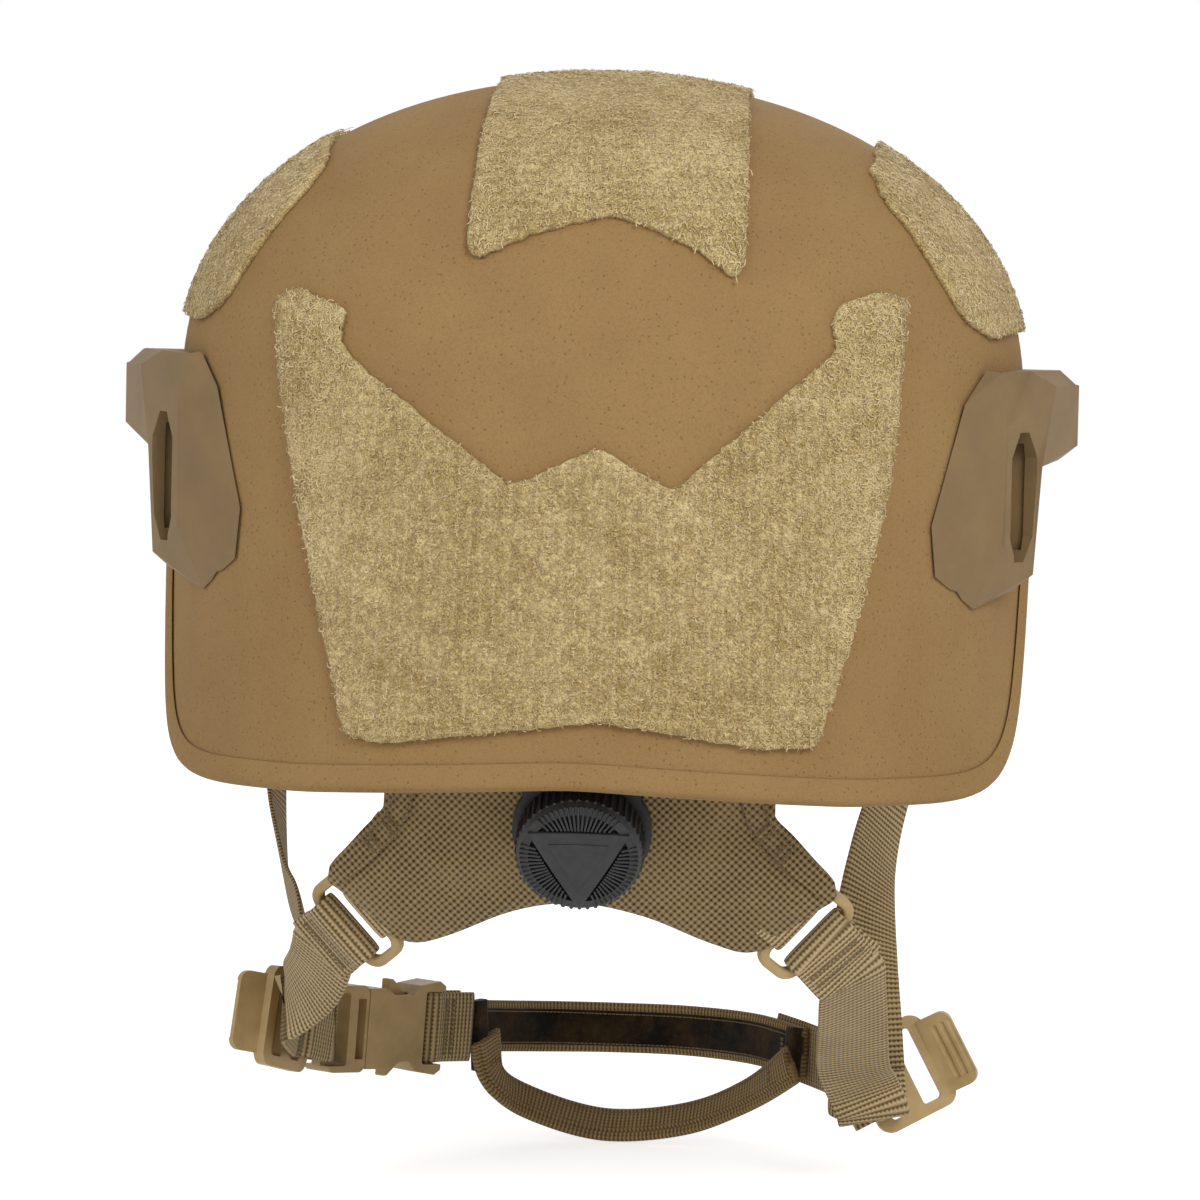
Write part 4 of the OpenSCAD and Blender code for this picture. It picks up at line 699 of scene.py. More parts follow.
# Fit dial
# A ratchet dial in black nylon: a drum with two ears, a spool under it that
# winds the laces, a ribbed knob that pulls out, and a cap of three lobes.
satin, tree, shader, place = finish("satin_black_nylon")
fine = add(tree, "TexNoise", {"Vector": place, "Scale": 1 / 0.0004, "Detail": 2.0})
dust = add(tree, "TexNoise", {"Vector": place, "Scale": 1 / 0.004, "Detail": 5.0, "Roughness": 0.7})
tone = add(tree, "ValToRGB", {0: dust.outputs["Fac"]}, stops=((0.35, "#262627"), (0.85, "#3C3C3C")))
bump = add(tree, "Bump", {"Height": fine.outputs["Fac"], "Strength": 0.3, "Distance": 0.00006})
plug(tree, shader, {"Base Color": tone.outputs["Color"], "Normal": bump.outputs[0], "Roughness": 0.5,
                    "Specular IOR Level": 0.4})
for node, body, width in (
    ("dial_base", "helmet", 0.3 * MM), ("lace_spool", "spool", 0.2 * MM), ("dial_knob", "knob", 0.3 * MM),
    ("lace_guides", "helmet", 0.5 * MM),
):
    moulded(node, body, satin, width)
for node in ("dial_hub", "dial_screw"):
    moulded(node, "hub", oxide, 0.2 * MM)

# The cap: a smooth three-sided panel whose corners reach the knob's rim, with a
# plain raised triangle in its middle; radial grip ribs fill the segments beside it
DIAL_FOOT = Vector((1.6, -111.932, -74.632)) * MM
DIAL_OUT = Vector((0, -0.898794, -0.438371))
dial_up = DIAL_OUT.cross(Vector((1, 0, 0)))
dial_frame = Matrix.Translation(DIAL_FOOT) @ Matrix(((1, 0, 0), dial_up, DIAL_OUT)).transposed().to_4x4()
FACE_Z = 15.2 * MM


def panel(corner_r, side_r, low, high, rounding):
    """A solid plate with three long bowed sides and corners on a circle, one corner down."""
    points = []
    for k in range(3):
        for step in range(-6, 7):
            turn = math.radians(270 + k * 120 + step * 10)
            reach = min(corner_r, side_r / max(0.02, math.cos(math.radians(60 - abs(step) * 10))) + 0.5 * MM)
            points.append((reach * math.cos(turn), reach * math.sin(turn)))
    bm = bmesh.new()
    face = bm.faces.new([bm.verts.new((x, y, low)) for x, y in points[:13] + points[14:26] + points[27:38]])
    raised = [g for g in bmesh.ops.extrude_face_region(bm, geom=[face])["geom"]
              if isinstance(g, bmesh.types.BMVert)]
    bmesh.ops.translate(bm, verts=raised, vec=(0, 0, high - low))
    bmesh.ops.recalc_face_normals(bm, faces=bm.faces)
    rim = [e for e in bm.edges if all(v.co.z > high - 1e-6 for v in e.verts)]
    bmesh.ops.bevel(bm, geom=rim, offset=rounding, offset_type="OFFSET", segments=3, profile=0.5,
                    affect="EDGES", material=-1, clamp_overlap=True)
    bmesh.ops.transform(bm, matrix=dial_frame, verts=bm.verts)
    return bm


for name, corner_r, side_r, low, high, rounding in (
    ("dial_cap_panel", 15.0, 7.4, -1.3, 0.8, 0.5), ("dial_cap_mark", 10.6, 4.3, 0.5, 1.15, 0.25),
):
    plate = panel(corner_r * MM, side_r * MM, FACE_Z + low * MM, FACE_Z + high * MM, rounding * MM)
    cap = piece(plate, name, "knob")
    cap.data.set_sharp_from_angle(angle=math.radians(40))
    dress(cap, satin, "dial_cap" if name == "dial_cap_panel" else None)

GRIP_STEP, GRIP_FROM, GRIP_TO = math.radians(5.4), 7.6 * MM, 15.3 * MM
bm = bmesh.new()
bmesh.ops.create_cube(bm, size=1)
bmesh.ops.scale(bm, verts=bm.verts, vec=(1, 0.62 * MM, 1.6 * MM))
rib = as_mesh(bm, "grip_rib")
places = []
for sector in range(3):
    for k in range(-8, 9):
        lean = k * GRIP_STEP
        inner = GRIP_FROM / math.cos(lean) + 0.7 * MM
        length = GRIP_TO - inner
        places.append((rib, dial_frame @ Matrix.Rotation(math.radians(90 + sector * 120) + lean, 4, "Z")
                       @ Matrix.Translation((inner + length / 2, 0, FACE_Z - 0.5 * MM))
                       @ Matrix.Rotation(math.radians(5), 4, "Y") @ Matrix.Diagonal((length, 1, 1, 1))))
ribs = piece(repeated(places), "knob_grip_ribs", "knob", smooth=False)
bpy.data.meshes.remove(rib)
round_off = ribs.modifiers.new("rounding", "BEVEL")
round_off.width = 0.22 * MM
round_off.segments = 2
dress(ribs, satin)

# Laces
# Two thin braided laces leave the spool through the drum's ears and run up
# inside the rim, pulled taut, into guides that are bonded in the shell.
LACE_D = 1.1 * MM


def smooth_line(points, n):
    """Points made a smooth line through all of them, n steps to each stretch."""
    line = []
    for i in range(len(points) - 1):
        a, b = points[max(0, i - 1)], points[i]
        c, d = points[i + 1], points[min(len(points) - 1, i + 2)]
        for k in range(n):
            t = k / n
            line.append(0.5 * (2 * b + (c - a) * t + (2 * a - 5 * b + 4 * c - d) * t * t
                               + (3 * b - a - 3 * c + d) * t * t * t))
    return line + [points[-1]]


def ahead(line, i):
    """The direction of a line at one of its points."""
    return (line[min(len(line) - 1, i + 1)] - line[max(0, i - 1)]).normalized()


# Braided polyester: strands cross at a slant every 1.5 mm; black, slightly shiny
STRAND = 0.0015
braid, tree, shader = finish("braided_polyester")[:3]
lace_uv = add(tree, "UVMap", {}, uv_map="lace").outputs[0]
axes = add(tree, "SeparateXYZ", {0: lace_uv})
turns = add(tree, "Math", {0: axes.outputs[0], 1: 4 * math.pi}, operation="MULTIPLY")
run = add(tree, "Math", {0: axes.outputs[1], 1: 2 * math.pi / STRAND}, operation="MULTIPLY")
slants = [add(tree, "Math", {0: turns.outputs[0], 1: run.outputs[0]}, operation=way)
          for way in ("ADD", "SUBTRACT")]
left, right = [add(tree, "Math", {0: slant.outputs[0]}, operation="SINE").outputs[0] for slant in slants]
strands = add(tree, "Math", {0: left, 1: right}, operation="MAXIMUM")
# Painted light on the strands' crowns and painted shade in the grooves between them
tone = add(tree, "ValToRGB", {0: strands.outputs[0]}, stops=((0.0, "#141414"), (0.9, "#303032")))
bump = add(tree, "Bump", {"Height": strands.outputs[0], "Strength": 0.5, "Distance": 0.0001})
plug(tree, shader, {"Base Color": tone.outputs["Color"], "Normal": bump.outputs[0], "Roughness": 0.55})


def square_to(facing, course):
    """A facing made square to a direction."""
    return (facing - course * facing.dot(course)).normalized()


def run_of(line):
    """The length of a line through all its points."""
    return sum((b - a).length for a, b in zip(line, line[1:]))


def drawn_out(bm, edges):
    """A ring of edges extruded: the new ring's points and edges."""
    grown = bmesh.ops.extrude_edge_only(bm, edges=edges)["geom"]
    ring = [g for g in grown if isinstance(g, bmesh.types.BMVert)]
    return ring, [g for g in grown if isinstance(g, bmesh.types.BMEdge) and all(v in ring for v in g.verts)]


def swept(section, line, widths, uv_name):
    """A closed strip: the section (across, up) carried along a line, with both lengths as its UVs."""
    bm = bmesh.new()
    corner = bm.verts.layers.int.new("corner")
    along = bm.verts.layers.float.new("along")
    ring = bmesh.ops.create_circle(bm, segments=len(section), radius=1)["verts"]
    for k, v in enumerate(ring):
        v[corner] = k
    edges = bm.edges[:]
    far = 0
    for i, at in enumerate(line):
        if i:
            far += (at - line[i - 1]).length
            ring, edges = drawn_out(bm, edges)
        course = ahead(line, i)
        side = square_to(widths[i], course)
        up = side.cross(course)
        for v in ring:
            x, y = section[v[corner]]
            v.co = at + side * x + up * y
            v[along] = far
    closed(bm)
    uv = bm.loops.layers.uv.new(uv_name)
    for face in bm.faces:
        for loop in face.loops:
            loop[uv].uv = (section[loop.vert[corner]][0], loop.vert[along])
    return bm


for side, name in ((-1, "lace_left"), (1, "lace_right")):
    route = [Vector(p) * MM for p in (
        (1.6 + side * 11.2, -121.14, -60.1), (1.6 + side * 14.2, -123.02, -56.23),
        (side * 25.19, -126.06, -50), (side * 37, -124.1, -43), (side * 45.21, -122.36, -38.36),
        (side * 48.19, -120.99, -37.47), (side * 51.78, -119.33, -36.39),
    )]
    route = smooth_line(route, 4)
    round_section = [(LACE_D / 2 * math.cos(k * math.pi / 5), LACE_D / 2 * math.sin(k * math.pi / 5))
                     for k in range(10)]
    lace = piece(swept(round_section, route, [Vector((0, 0, 1))] * len(route), "lace"), name + "_braided")
    dress(lace, braid, name)

# Webbing
# Standard 20 mm nylon webbing, 1.6 mm thick, woven with fine ribs across. Each
# strap is bolted, looped or folded back, and sewn with bar tacks in polyester thread.
WEB_W, WEB_T = 20 * MM, 1.6 * MM
RIB = 0.0015
THREAD = 0.00035
STITCH_PITCH = 1.35 * MM


def flat_section(width, thick):
    """The section of a woven tape: a flat oval with firm rounded edges."""
    points = []
    for k in range(24):
        turn = 2 * math.pi * k / 24
        c, s = math.cos(turn), math.sin(turn)
        points.append((math.copysign(abs(c) ** 0.42, c) * width / 2,
                       math.copysign(abs(s) ** 0.5, s) * thick / 2))
    return points


def facing_line(points, facings, n):
    """Where a strap goes and which way it faces, in mm, as places with the direction of its width."""
    line = smooth_line([Vector(p) * MM for p in points], n)
    faced = smooth_line([Vector(f) for f in facings], n)
    return [(p, ahead(line, i).cross(faced[i]).normalized()) for i, p in enumerate(line)]


def round_bar(centre, onward, width, radius, tail=0, hold=0):
    """A half turn of webbing round a bar, with straight legs or a tail that closes on the strap."""
    up = width.cross(onward)
    places = [centre + up * radius * math.cos(math.pi / 6 * k) + onward * radius * math.sin(math.pi / 6 * k)
              for k in range(7)]
    if hold:
        places += [centre - up * radius - onward * hold / 2, centre - up * radius - onward * hold]
    if tail:
        shut = radius - WEB_T - 0.12 * MM
        places += [centre - up * radius * 0.75 - onward * 3 * MM, centre + up * shut * 0.6 - onward * 7 * MM,
                   centre + up * shut - onward * 10 * MM, centre + up * shut - onward * tail]
    return [(p, width) for p in places]


def strap_run(stations, n=4):
    """Stations smoothed to a fine line with the direction of the width at each point."""
    line = smooth_line([p for p, w in stations], n)
    widths = smooth_line([w for p, w in stations], n)
    return line, widths


# Woven nylon webbing: matt, with ribs 1.5 mm apart that step from yarn to yarn, painted light on the rib
# crests and painted shade in the troughs, and slightly soiled


def webbing(name, dark, pale, rib=RIB):
    """Ribbed webbing in two tones, drawn along the strap's own UVs."""
    made, tree, shader, place = finish(name)
    axes = add(tree, "SeparateXYZ", {0: add(tree, "UVMap", {}, uv_map="weave").outputs[0]})
    across, along = axes.outputs[0], axes.outputs[1]
    warp = add(tree, "Math", {0: across, 1: 2 * math.pi / 0.0012}, operation="MULTIPLY")
    yarns = add(tree, "Math", {0: warp.outputs[0]}, operation="SINE")
    phase = add(tree, "Math", {0: along, 1: 2 * math.pi / rib}, operation="MULTIPLY")
    lean = add(tree, "Math", {0: yarns.outputs[0], 1: 0.35, 2: phase.outputs[0]}, operation="MULTIPLY_ADD")
    wave = add(tree, "Math", {0: lean.outputs[0]}, operation="SINE")
    ribs = add(tree, "Math", {0: wave.outputs[0], 1: 0.5, 2: 0.5}, operation="MULTIPLY_ADD")
    dots = add(tree, "Math", {0: yarns.outputs[0], 1: 0.16, 2: ribs.outputs[0]}, operation="MULTIPLY_ADD")
    fuzz = add(tree, "TexNoise", {"Vector": place, "Scale": 1 / 0.0005, "Detail": 3.0, "Roughness": 0.7})
    soil = add(tree, "TexNoise", {"Vector": place, "Scale": 1 / 0.014, "Detail": 4.0, "Roughness": 0.6})
    mixed = add(tree, "Math", {0: fuzz.outputs["Fac"], 1: 0.5, 2: dots.outputs[0]}, operation="MULTIPLY_ADD")
    mixed = add(tree, "Math", {0: soil.outputs["Fac"], 1: 0.5, 2: mixed.outputs[0]}, operation="MULTIPLY_ADD")
    spread = add(tree, "MapRange", {0: mixed.outputs[0], 1: 0.4, 2: 1.6})
    # The ribs' height also sets the colour: painted light on their crests, painted shade in the troughs
    tone = add(tree, "ValToRGB", {0: spread.outputs[0]}, stops=((0.08, dark), (0.85, pale)))
    bump = add(tree, "Bump", {"Height": mixed.outputs[0], "Strength": 0.6, "Distance": 0.00025})
    plug(tree, shader, {"Base Color": tone.outputs["Color"], "Normal": bump.outputs[0], "Roughness": 0.82,
                        "Specular IOR Level": 0.25, "Sheen Weight": 0.12})
    return made


pale_web = webbing("ribbed_nylon_webbing", "#695433", "#D3BA8C")
brown_web = webbing("ribbed_nylon_webbing_front", "#5C482A", "#C8AE7E")
thread, tree, shader, place = finish("bonded_polyester_thread")
twist = add(tree, "TexNoise", {"Vector": place, "Scale": 1 / 0.0004, "Detail": 2.0})
tone = add(tree, "ValToRGB", {0: twist.outputs["Fac"]}, stops=((0.3, "#6E5C40"), (0.7, "#A48F6A")))
plug(tree, shader, {"Base Color": tone.outputs["Color"], "Roughness": 0.6})

# One stitch: a short thread that dives into the cloth at both ends
bm = bmesh.new()
ring = bmesh.ops.create_circle(bm, segments=5, radius=THREAD / 2)["verts"]
bmesh.ops.rotate(bm, verts=ring, matrix=Matrix.Rotation(math.pi / 2, 3, "Y"))
bmesh.ops.translate(bm, verts=ring, vec=(-0.5 * MM, 0, 0))
edges = bm.edges[:]
for x, drop in ((-0.42, 0.12), (-0.2, 0.2), (0.2, 0.2), (0.42, 0.12), (0.5, 0)):
    ring, edges = drawn_out(bm, edges)
    middle = sum((v.co for v in ring), Vector()) / len(ring)
    bmesh.ops.translate(bm, verts=ring, vec=(x * MM - middle.x, 0, drop * MM - middle.z))
stitch = as_mesh(closed(bm), "stitch")


def on_strap(line, widths, far, across, face):
    """The frame on a strap's face, so far along it and so far across: x along it and z off its face."""
    gone = 0
    for i in range(len(line) - 1):
        step = (line[i + 1] - line[i]).length
        if gone + step >= far or i == len(line) - 2:
            break
        gone += step
    t = (far - gone) / step
    at = line[i].lerp(line[i + 1], t)
    course = (line[i + 1] - line[i]).normalized()
    side = square_to(widths[i].lerp(widths[i + 1], t), course)
    up = side.cross(course) * face
    frame_at = Matrix((course, up.cross(course), up)).transposed().to_4x4()
    return Matrix.Translation(at + side * across) @ frame_at


def sewn(name, body, runs):
    """Rows of stitches: each run gives a strap's line and widths, a row's two ends, its face and lift."""
    places = []
    for line, widths, start, end, face, off in runs:
        a, b = Vector(start) * MM, Vector(end) * MM
        count = max(2, int((b - a).length / STITCH_PITCH))
        for k in range(count):
            spot = a.lerp(b, (k + 0.5) / count)
            turn = math.atan2((b - a).y * face, (b - a).x)
            places.append((stitch, on_strap(line, widths, spot.x, spot.y, face)
                           @ Matrix.Translation((0, 0, off * MM)) @ Matrix.Rotation(turn, 4, "Z")))
    made = piece(repeated(places), name, body)
    dress(made, thread)


def bar_tack(line, widths, far, face, off, half=8.2):
    """A dense zigzag across a strap, as two close rows."""
    return [(line, widths, (far + d, -half), (far + d, half), face, off) for d in (-0.5, 0.0, 0.5)]


def strap(node, stations, width, cloth, body="helmet", blend=None, name=None):
    """A strap of webbing that stands for its CAD solid."""
    line, widths = strap_run(stations)
    made = piece(swept(flat_section(width, WEB_T), line, widths, "weave"), name or node + "_woven", None)
    if blend:
        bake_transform(made)
    else:
        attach(made, body)
    dress(made, cloth, node)
    return line, widths


def mirrored(v, side):
    """A point of the right side on the side asked for."""
    return Vector((v[0] * side, v[1], v[2]))


def ring_bars(side):
    """The way a nape ring's bars lie, and the way down from the pad to the strap."""
    return [mirrored(v, side).normalized() for v in ((-0.6725, 0.03, -0.7395), (0.6202, 0.5679, -0.5411))]


# Rear straps: from the nape ring, where each is doubled back and sewn, to the junction with the front strap
TURN_R = 3.276 * MM
ADJUSTER_BAR_R = 3.9 * MM
LEFT_BAR = Vector((-84.9, -14.8, -140.2)) * MM
LEFT_ONWARD = Vector((0.408, 0.883, -0.236)).normalized()
LEFT_WIDTH = square_to(Vector((-0.908, 0.419, 0)), LEFT_ONWARD).cross(LEFT_ONWARD)
doubled = []
for side, name, run, facing in (
    (-1, "rear_strap_left",
     [(-69.2, -64.5, -112.8), (-73, -53, -122.5), (-78.5, -42, -129.5), (-83, -33, -135)],
     [(0.54, 0.56, 0.62), (0.62, 0.45, 0.5), (0.78, 0.3, 0.3), (0.96, 0, 0)]),
    (1, "rear_strap_right",
     [(71.8, -69.9, -115.4), (72.2, -50, -130.5), (72.6, -24, -147), (75.5, -11, -155.5), (78, -8.2, -161.2),
      (78.6, -6.4, -163.8), (78.4, -3.4, -164), (77.8, -2, -161), (76.8, -1.4, -152)],
     [(-0.52, 0.54, 0.61), (-0.35, 0.65, 0.6), (-0.1, 0.8, 0.5), (-0.07, 0.95, 0.29), (-0.05, 0.97, 0.2),
      (-0.15, 0.6, 0.75), (-0.2, -0.5, 0.85), (0, -0.99, 0.1), (0, -0.99, 0.1)]),
):
    bar = mirrored((63.0348, -73.9917, -107.5765), side) * MM
    along, down = ring_bars(side)
    # The half turn keeps the run's own width, and the stretch between the two has stations as close as theirs
    turn = [(p, w * side) for p, w in round_bar(bar, -down, -along, TURN_R, tail=14 * MM)[::-1]]
    course = facing_line(run, facing, 4)[1:]
    between = [tuple(a.lerp(b, k / 3) for a, b in zip(turn[-1], course[0])) for k in (1, 2)]
    stations = turn + between + course
    if side < 0:
        stations += round_bar(LEFT_BAR, LEFT_ONWARD, LEFT_WIDTH, ADJUSTER_BAR_R, hold=11.4 * MM)
    doubled.append(strap(name, stations, WEB_W, pale_web))

# Front straps: from the rail bolts inside the shell, past the temples, to the same junction
for side, name, run, facing in (
    (-1, "front_strap_left",
     [(-95.36, 49.22, 33), (-95.36, 49.22, 19), (-93.52, 48.72, 8), (-96.5, 46, -22), (-95.5, 42, -60),
      (-94, 36, -88), (-88.5, 16, -106), (-82, 0, -114.5), (-78.2, -16, -125), (-79.9, -27, -134)],
     [(-1, 0.25, 0), (-1, 0.25, 0), (-1, 0.25, 0), (-1, 0.3, 0), (-1, 0.2, 0), (-1, 0.1, -0.1), (-1, 0, -0.1),
      (-1, 0.1, -0.1), (-0.97, 0.2, -0.1), (-0.95, 0.22, -0.05)]),
    (1, "front_strap_right",
     [(95.36, 49.22, 33), (95.36, 49.22, 19), (93.52, 48.72, 8), (95, 46, -22), (88, 42, -58), (79, 36, -84),
      (75.5, 20, -104), (74.8, 6, -124), (76, 2.4, -142), (77, 1.6, -153)],
     [(1, 0.25, 0), (1, 0.25, 0), (1, 0.25, 0), (1, 0.1, 0), (1, -0.3, 0), (0.9, -0.6, 0.1), (0.6, -0.8, 0.1),
      (0.3, -0.95, 0.2), (0, -1, 0.1), (0, -1, 0)]),
):
    strap(name, facing_line(run, facing, 3), WEB_W, brown_web)

# The rings' tabs: webbing in loops, sewn behind the nape pad
TAB_R = 2.6 * MM
for side, name in ((-1, "left"), (1, "right")):
    bar = mirrored((55.4679, -80.9205, -100.9756), side) * MM
    along, down = ring_bars(side)
    leg = along.cross(down) * TAB_R
    stations = [(bar + leg - down * 8 * MM, along)] + round_bar(bar, down, along, TAB_R)
    stations += [(bar - leg - down * 8 * MM, along)]
    strap(None, stations, WEB_W * 0.8, pale_web, name="ring_tab_" + name)
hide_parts("ring_tabs")

# Rings and adjusters
# Nape rings, ladder-lock adjusters and the side-release buckle are moulded in
# tan acetal, which is smooth and slightly glossy, and pale where it is rubbed.
acetal = mould_finish("moulded_acetal", "#B09360", "#D4B681", 0.42, grain=0.0008)
for node, body, width in (
    ("nape_ring_left", "helmet", 0.9 * MM), ("nape_ring_right", "helmet", 0.9 * MM),
    ("adjuster_left", "helmet", 0.5 * MM), ("adjuster_right", "helmet", 0.5 * MM),
    ("buckle_male", "chin_strap", 0.7 * MM), ("buckle_female", "chin_strap", 1.3 * MM),
    ("prong_upper", "prong_top", 0.4 * MM), ("prong_lower", "prong_foot", 0.4 * MM),
):
    moulded(node, body, acetal, width, segments=3)

# Side straps
# Two short straps of the same webbing let the chin cup swing: one is looped from
# the left adjuster to the buckle, the other from the right adjuster to the cup's end.
BUCKLE_AT = Vector((-68, 14, -146)) * MM
BUCKLE_DIR = Vector((0.62, 0.78, -0.08)).normalized()
BUCKLE_UP = square_to(Vector((-0.78, 0.62, 0)), BUCKLE_DIR)
BUCKLE_W = BUCKLE_UP.cross(BUCKLE_DIR)
BUCKLE_BAR_R = 3.4 * MM
MALE_BAR_X, FEMALE_BAR_X = -14.1, 29.55
BAR_REACH = 9.75 * MM


def on_buckle(x, z):
    """A point of the buckle's own frame, in mm, x towards the chin and z off its face."""
    return BUCKLE_AT + BUCKLE_DIR * (x * MM) + BUCKLE_UP * (z * MM)


first = LEFT_BAR + LEFT_ONWARD * BAR_REACH
second = on_buckle(MALE_BAR_X, 0)
up0, up1 = LEFT_WIDTH.cross(LEFT_ONWARD), BUCKLE_W.cross(BUCKLE_DIR)
# The strap is a closed loop round both bars, and its two ends meet in the middle
middle = [(first.lerp(second, t) - up0.lerp(up1, t) * 2.4 * MM, LEFT_WIDTH.lerp(BUCKLE_W, t).normalized())
          for t in (0.54, 0.56)]
stations = [middle[0]] + round_bar(first, -LEFT_ONWARD, LEFT_WIDTH, ADJUSTER_BAR_R)
stations += round_bar(second, BUCKLE_DIR, BUCKLE_W, BUCKLE_BAR_R) + [middle[1]]
strap("side_strap_left", stations, WEB_W * 0.94, pale_web, body="chin_strap",
      blend=(tuple(first), tuple(second)))

onward = Vector((0.86, 0.2, 0.45)).normalized()
out = square_to(Vector((0.155, -0.97, 0.135)), onward)
hinge = Vector((85.6, 3.8, -153)) * MM - onward * BAR_REACH
stations = facing_line(
    [(50.3, 57.3, -153), (60.4, 41.8, -154), (67.5, 24, -154.5), (66.6, 10, -155.6), (67.6, 2.6, -156.4),
     (71.5, -1.6, -157)],
    [(-0.82, -0.57, 0), (-0.85, -0.5, 0), (-1, -0.1, 0), (-0.95, -0.3, 0), (-0.6, -0.8, 0),
     (0, -0.97, 0.06)], 4)
stations += round_bar(hinge, onward, -out.cross(onward), ADJUSTER_BAR_R, hold=8 * MM)
strap("side_strap_right", stations, WEB_W * 0.9, pale_web, body="chin_strap",
      blend=(tuple(hinge), (0.0665, 0.012, -0.1605)))

# The buckle's tab holds the cup's end between its two legs
stations = [(on_buckle(FEMALE_BAR_X + 16, 3.4), -BUCKLE_W)]
stations += [(p, -w) for p, w in round_bar(on_buckle(FEMALE_BAR_X, 0), -BUCKLE_DIR, BUCKLE_W, BUCKLE_BAR_R)]
stations += [(on_buckle(FEMALE_BAR_X + x, -2), -BUCKLE_W) for x in (5, 16)]
tab_run = strap("buckle_tab", stations, WEB_W, pale_web, body="chin_strap")

# Chin cup
# Two bands of nylon tape cradle the chin. The upper one is lined with dark suede
# on the skin's side, and both are sewn along their edges in rows of pale stitches.
CUP_W = 15 * MM
CUP_ROW_LIFT = 1.65
suede, tree, shader, place = finish("brushed_suede_dark")
nap = add(tree, "TexNoise", {"Vector": place, "Scale": 1 / 0.002, "Detail": 4.0, "Roughness": 0.75})
brushed = add(tree, "TexNoise", {"Vector": place, "Scale": 1 / 0.012, "Detail": 4.0, "Distortion": 0.6})
mixed = add(tree, "Math", {0: nap.outputs["Fac"], 1: 0.6, 2: brushed.outputs["Fac"]},
            operation="MULTIPLY_ADD")
tone = add(tree, "ValToRGB", {0: mixed.outputs[0]}, stops=((0.66, "#0E0902"), (0.98, "#443217")))
bump = add(tree, "Bump", {"Height": nap.outputs["Fac"], "Strength": 0.5, "Distance": 0.0003})
plug(tree, shader, {"Base Color": tone.outputs["Color"], "Normal": bump.outputs[0], "Roughness": 0.92,
                    "Specular IOR Level": 0.15, "Sheen Weight": 0.3})
tape = webbing("woven_cup_tape", "#6B5534", "#B99E6E", rib=0.0012)

band_in = 0.7
upper = facing_line(
    [on_buckle(34.05, band_in) / MM, on_buckle(46.55, band_in) / MM, (-30, 65, -151.5), (-17, 78, -153),
     (2, 83, -153.5), (24, 77, -153), (44, 60, -152.5), (58, 40, -153.5)],
    [BUCKLE_UP, BUCKLE_UP, (-0.7, 0.7, 0), (-0.5, 0.85, 0), (0, 1, 0.1), (0.5, 0.85, 0.1), (0.78, 0.6, 0),
     (0.82, 0.57, 0)], 4)
low_start = on_buckle(50.55, band_in - 4.1) / MM + Vector((0, 0, -3))
lower = facing_line(
    [low_start, (-31.5, 56.5, -165), (-22, 63, -173), (0, 64, -179), (24, 60, -176), (42, 50, -167),
     (54.6, 36.6, -156)],
    [(-0.7, 0.65, -0.1), (-0.5, 0.6, -0.6), (-0.3, 0.6, -0.7), (0, 0.62, -0.78), (0.3, 0.6, -0.74),
     (0.6, 0.5, -0.5), (0.82, 0.57, -0.05)], 4)
LINING_INSET = 4.4 * MM
cup_rows = []
for node, stations, width, lining in (
    ("chin_upper_band", upper, CUP_W, "cup_lining"), ("chin_lower_band", lower, CUP_W * 0.8, "cup_strap"),
):
    line, widths = strap_run(stations, 3)
    outward = [widths[i].cross(ahead(line, i)).normalized() for i in range(len(line))]
    for name, off, thick, across, cloth, slot in (
        ("lining", -0.75, 1.9, width - LINING_INSET, suede if lining == "cup_lining" else tape, lining),
        ("tape", 0.35, 2.4, width, tape, "cup_strap"),
    ):
        shifted = [p + o * off * MM for p, o in zip(line, outward)]
        bm = swept(flat_section(across, thick * MM), shifted, widths, "weave")
        layer = piece(bm, node + "_" + name, "chin_strap")
        dress(layer, cloth, node if name == "lining" else None)
    run = run_of(line) / MM
    inset = width / MM / 2 - 3
    for side in (-1, 1):
        cup_rows.append((line, widths, (6, side * inset), (run - 6, side * inset), -1, CUP_ROW_LIFT))
    for far in (8, run - 9):
        cup_rows += bar_tack(line, widths, far, -1, CUP_ROW_LIFT, half=inset - 1)
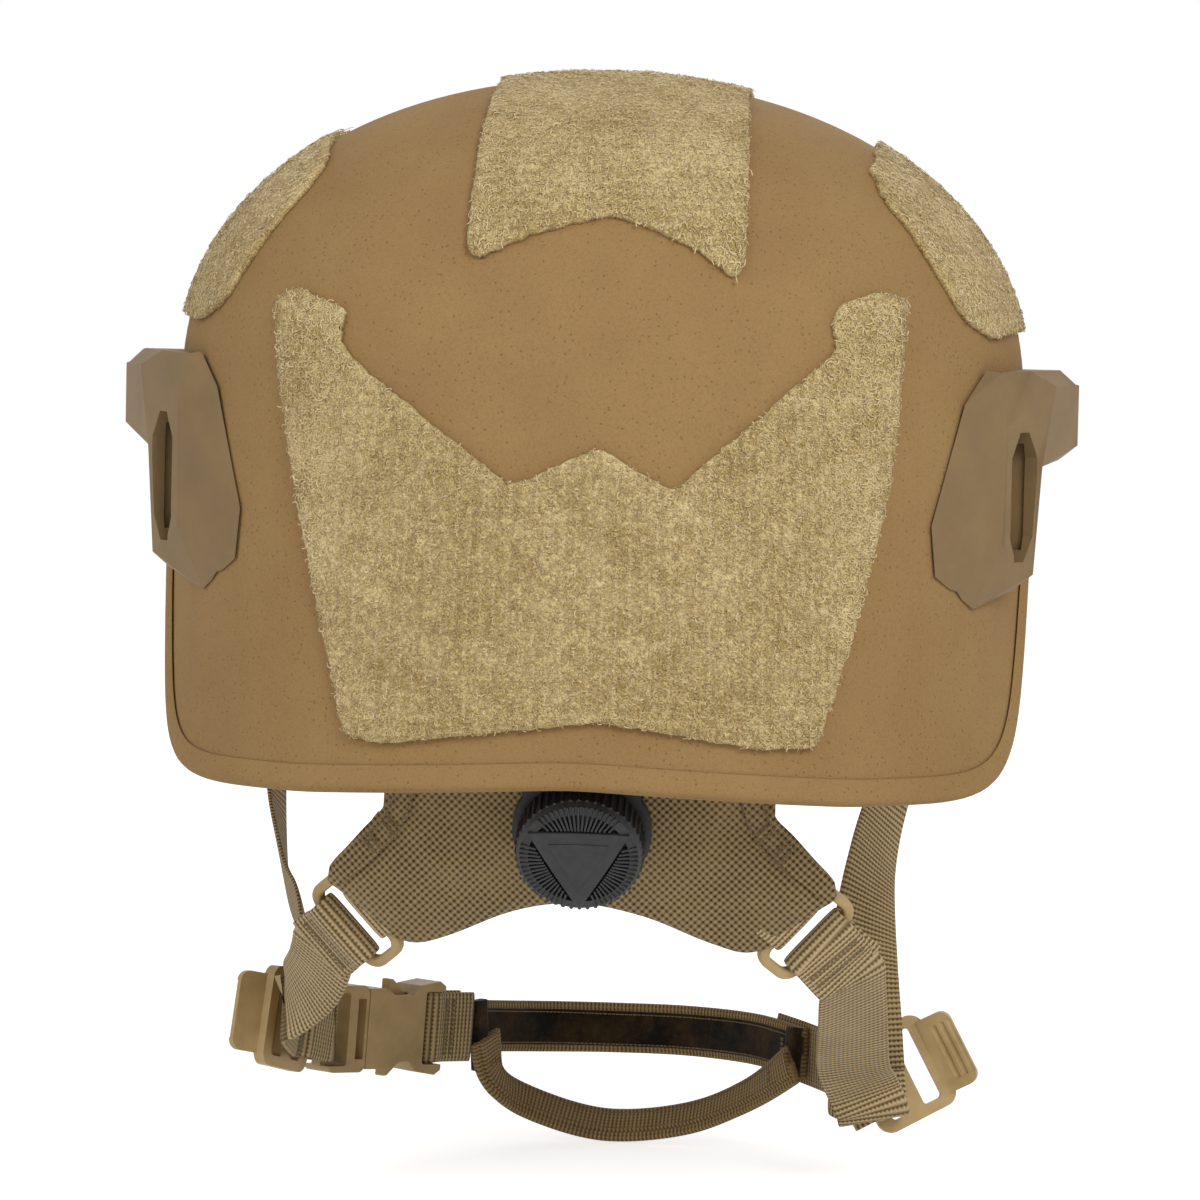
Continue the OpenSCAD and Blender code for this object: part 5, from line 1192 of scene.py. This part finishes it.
sewn("chin_cup_stitches", "chin_strap", cup_rows)

# A suede panel across each end of the cup joins the two bands
for name, top, foot, across in (
    ("left", on_buckle(49, -1.6) + Vector((0, 0, 7.6)) * MM,
     on_buckle(50.5, -1.6) + Vector((0, 0, -12.5)) * MM, BUCKLE_DIR),
    ("right", Vector((55.4, 41.6, -146)) * MM, Vector((54.6, 40.2, -160)) * MM, Vector((-0.57, 0.82, 0))),
):
    places = [top.lerp(foot, k / 10) for k in range(11)]
    bm = swept(flat_section(5.5 * MM, 3.4 * MM), places, [across] * 11, "weave")
    end_panel = piece(bm, "cup_end_panel_" + name, "chin_strap")
    dress(end_panel, suede)

# Bar tacks where the straps are doubled back, and rows across the buckle's tab
TACK_LIFT, FLAP_ROW_LIFT = 0.75, 1.3
strap_rows = []
for line, widths in doubled:
    for far in (4, 8, 30, 34):
        for side in (-1, 1):
            strap_rows += bar_tack(line, widths, far, side, TACK_LIFT)
# Two rows and four short tacks down each flap of the nape pad, along the points of
# the pad that lie nearest to a rough slope of its outer face
for side in (-1, 1):
    line, normals = [], []
    for x, z in ((45, -64), (49.2, -76), (55.6, -83.4), (62, -89.4)):
        near = Vector((side * x, -115 + 0.0043 * x * x - 0.488 * (z + 74.5), z)) * MM
        hit, normal = nape_skin.find_nearest(near)[:2]
        line.append(hit)
        normals.append(normal)
    line = smooth_line(line, 4)
    normals = smooth_line(normals, 4)
    widths = [ahead(line, i).cross(normals[i]).normalized() for i in range(len(line))]
    for across in (-2.8, 2.8):
        strap_rows.append((line, widths, (1, across), (29, across), 1, FLAP_ROW_LIFT))
    for far in (15, 17.5, 24, 26.5):
        strap_rows += bar_tack(line, widths, far, 1, FLAP_ROW_LIFT, half=2.2)
sewn("strap_bar_tacks", "helmet", strap_rows)
tab_rows = []
line, widths = tab_run
run = run_of(line) / MM
for far in (9, 12, run - 9, run - 12):
    tab_rows += [row for side in (-1, 1) for row in bar_tack(line, widths, far, side, TACK_LIFT)]
sewn("buckle_tab_stitches", "chin_strap", tab_rows)
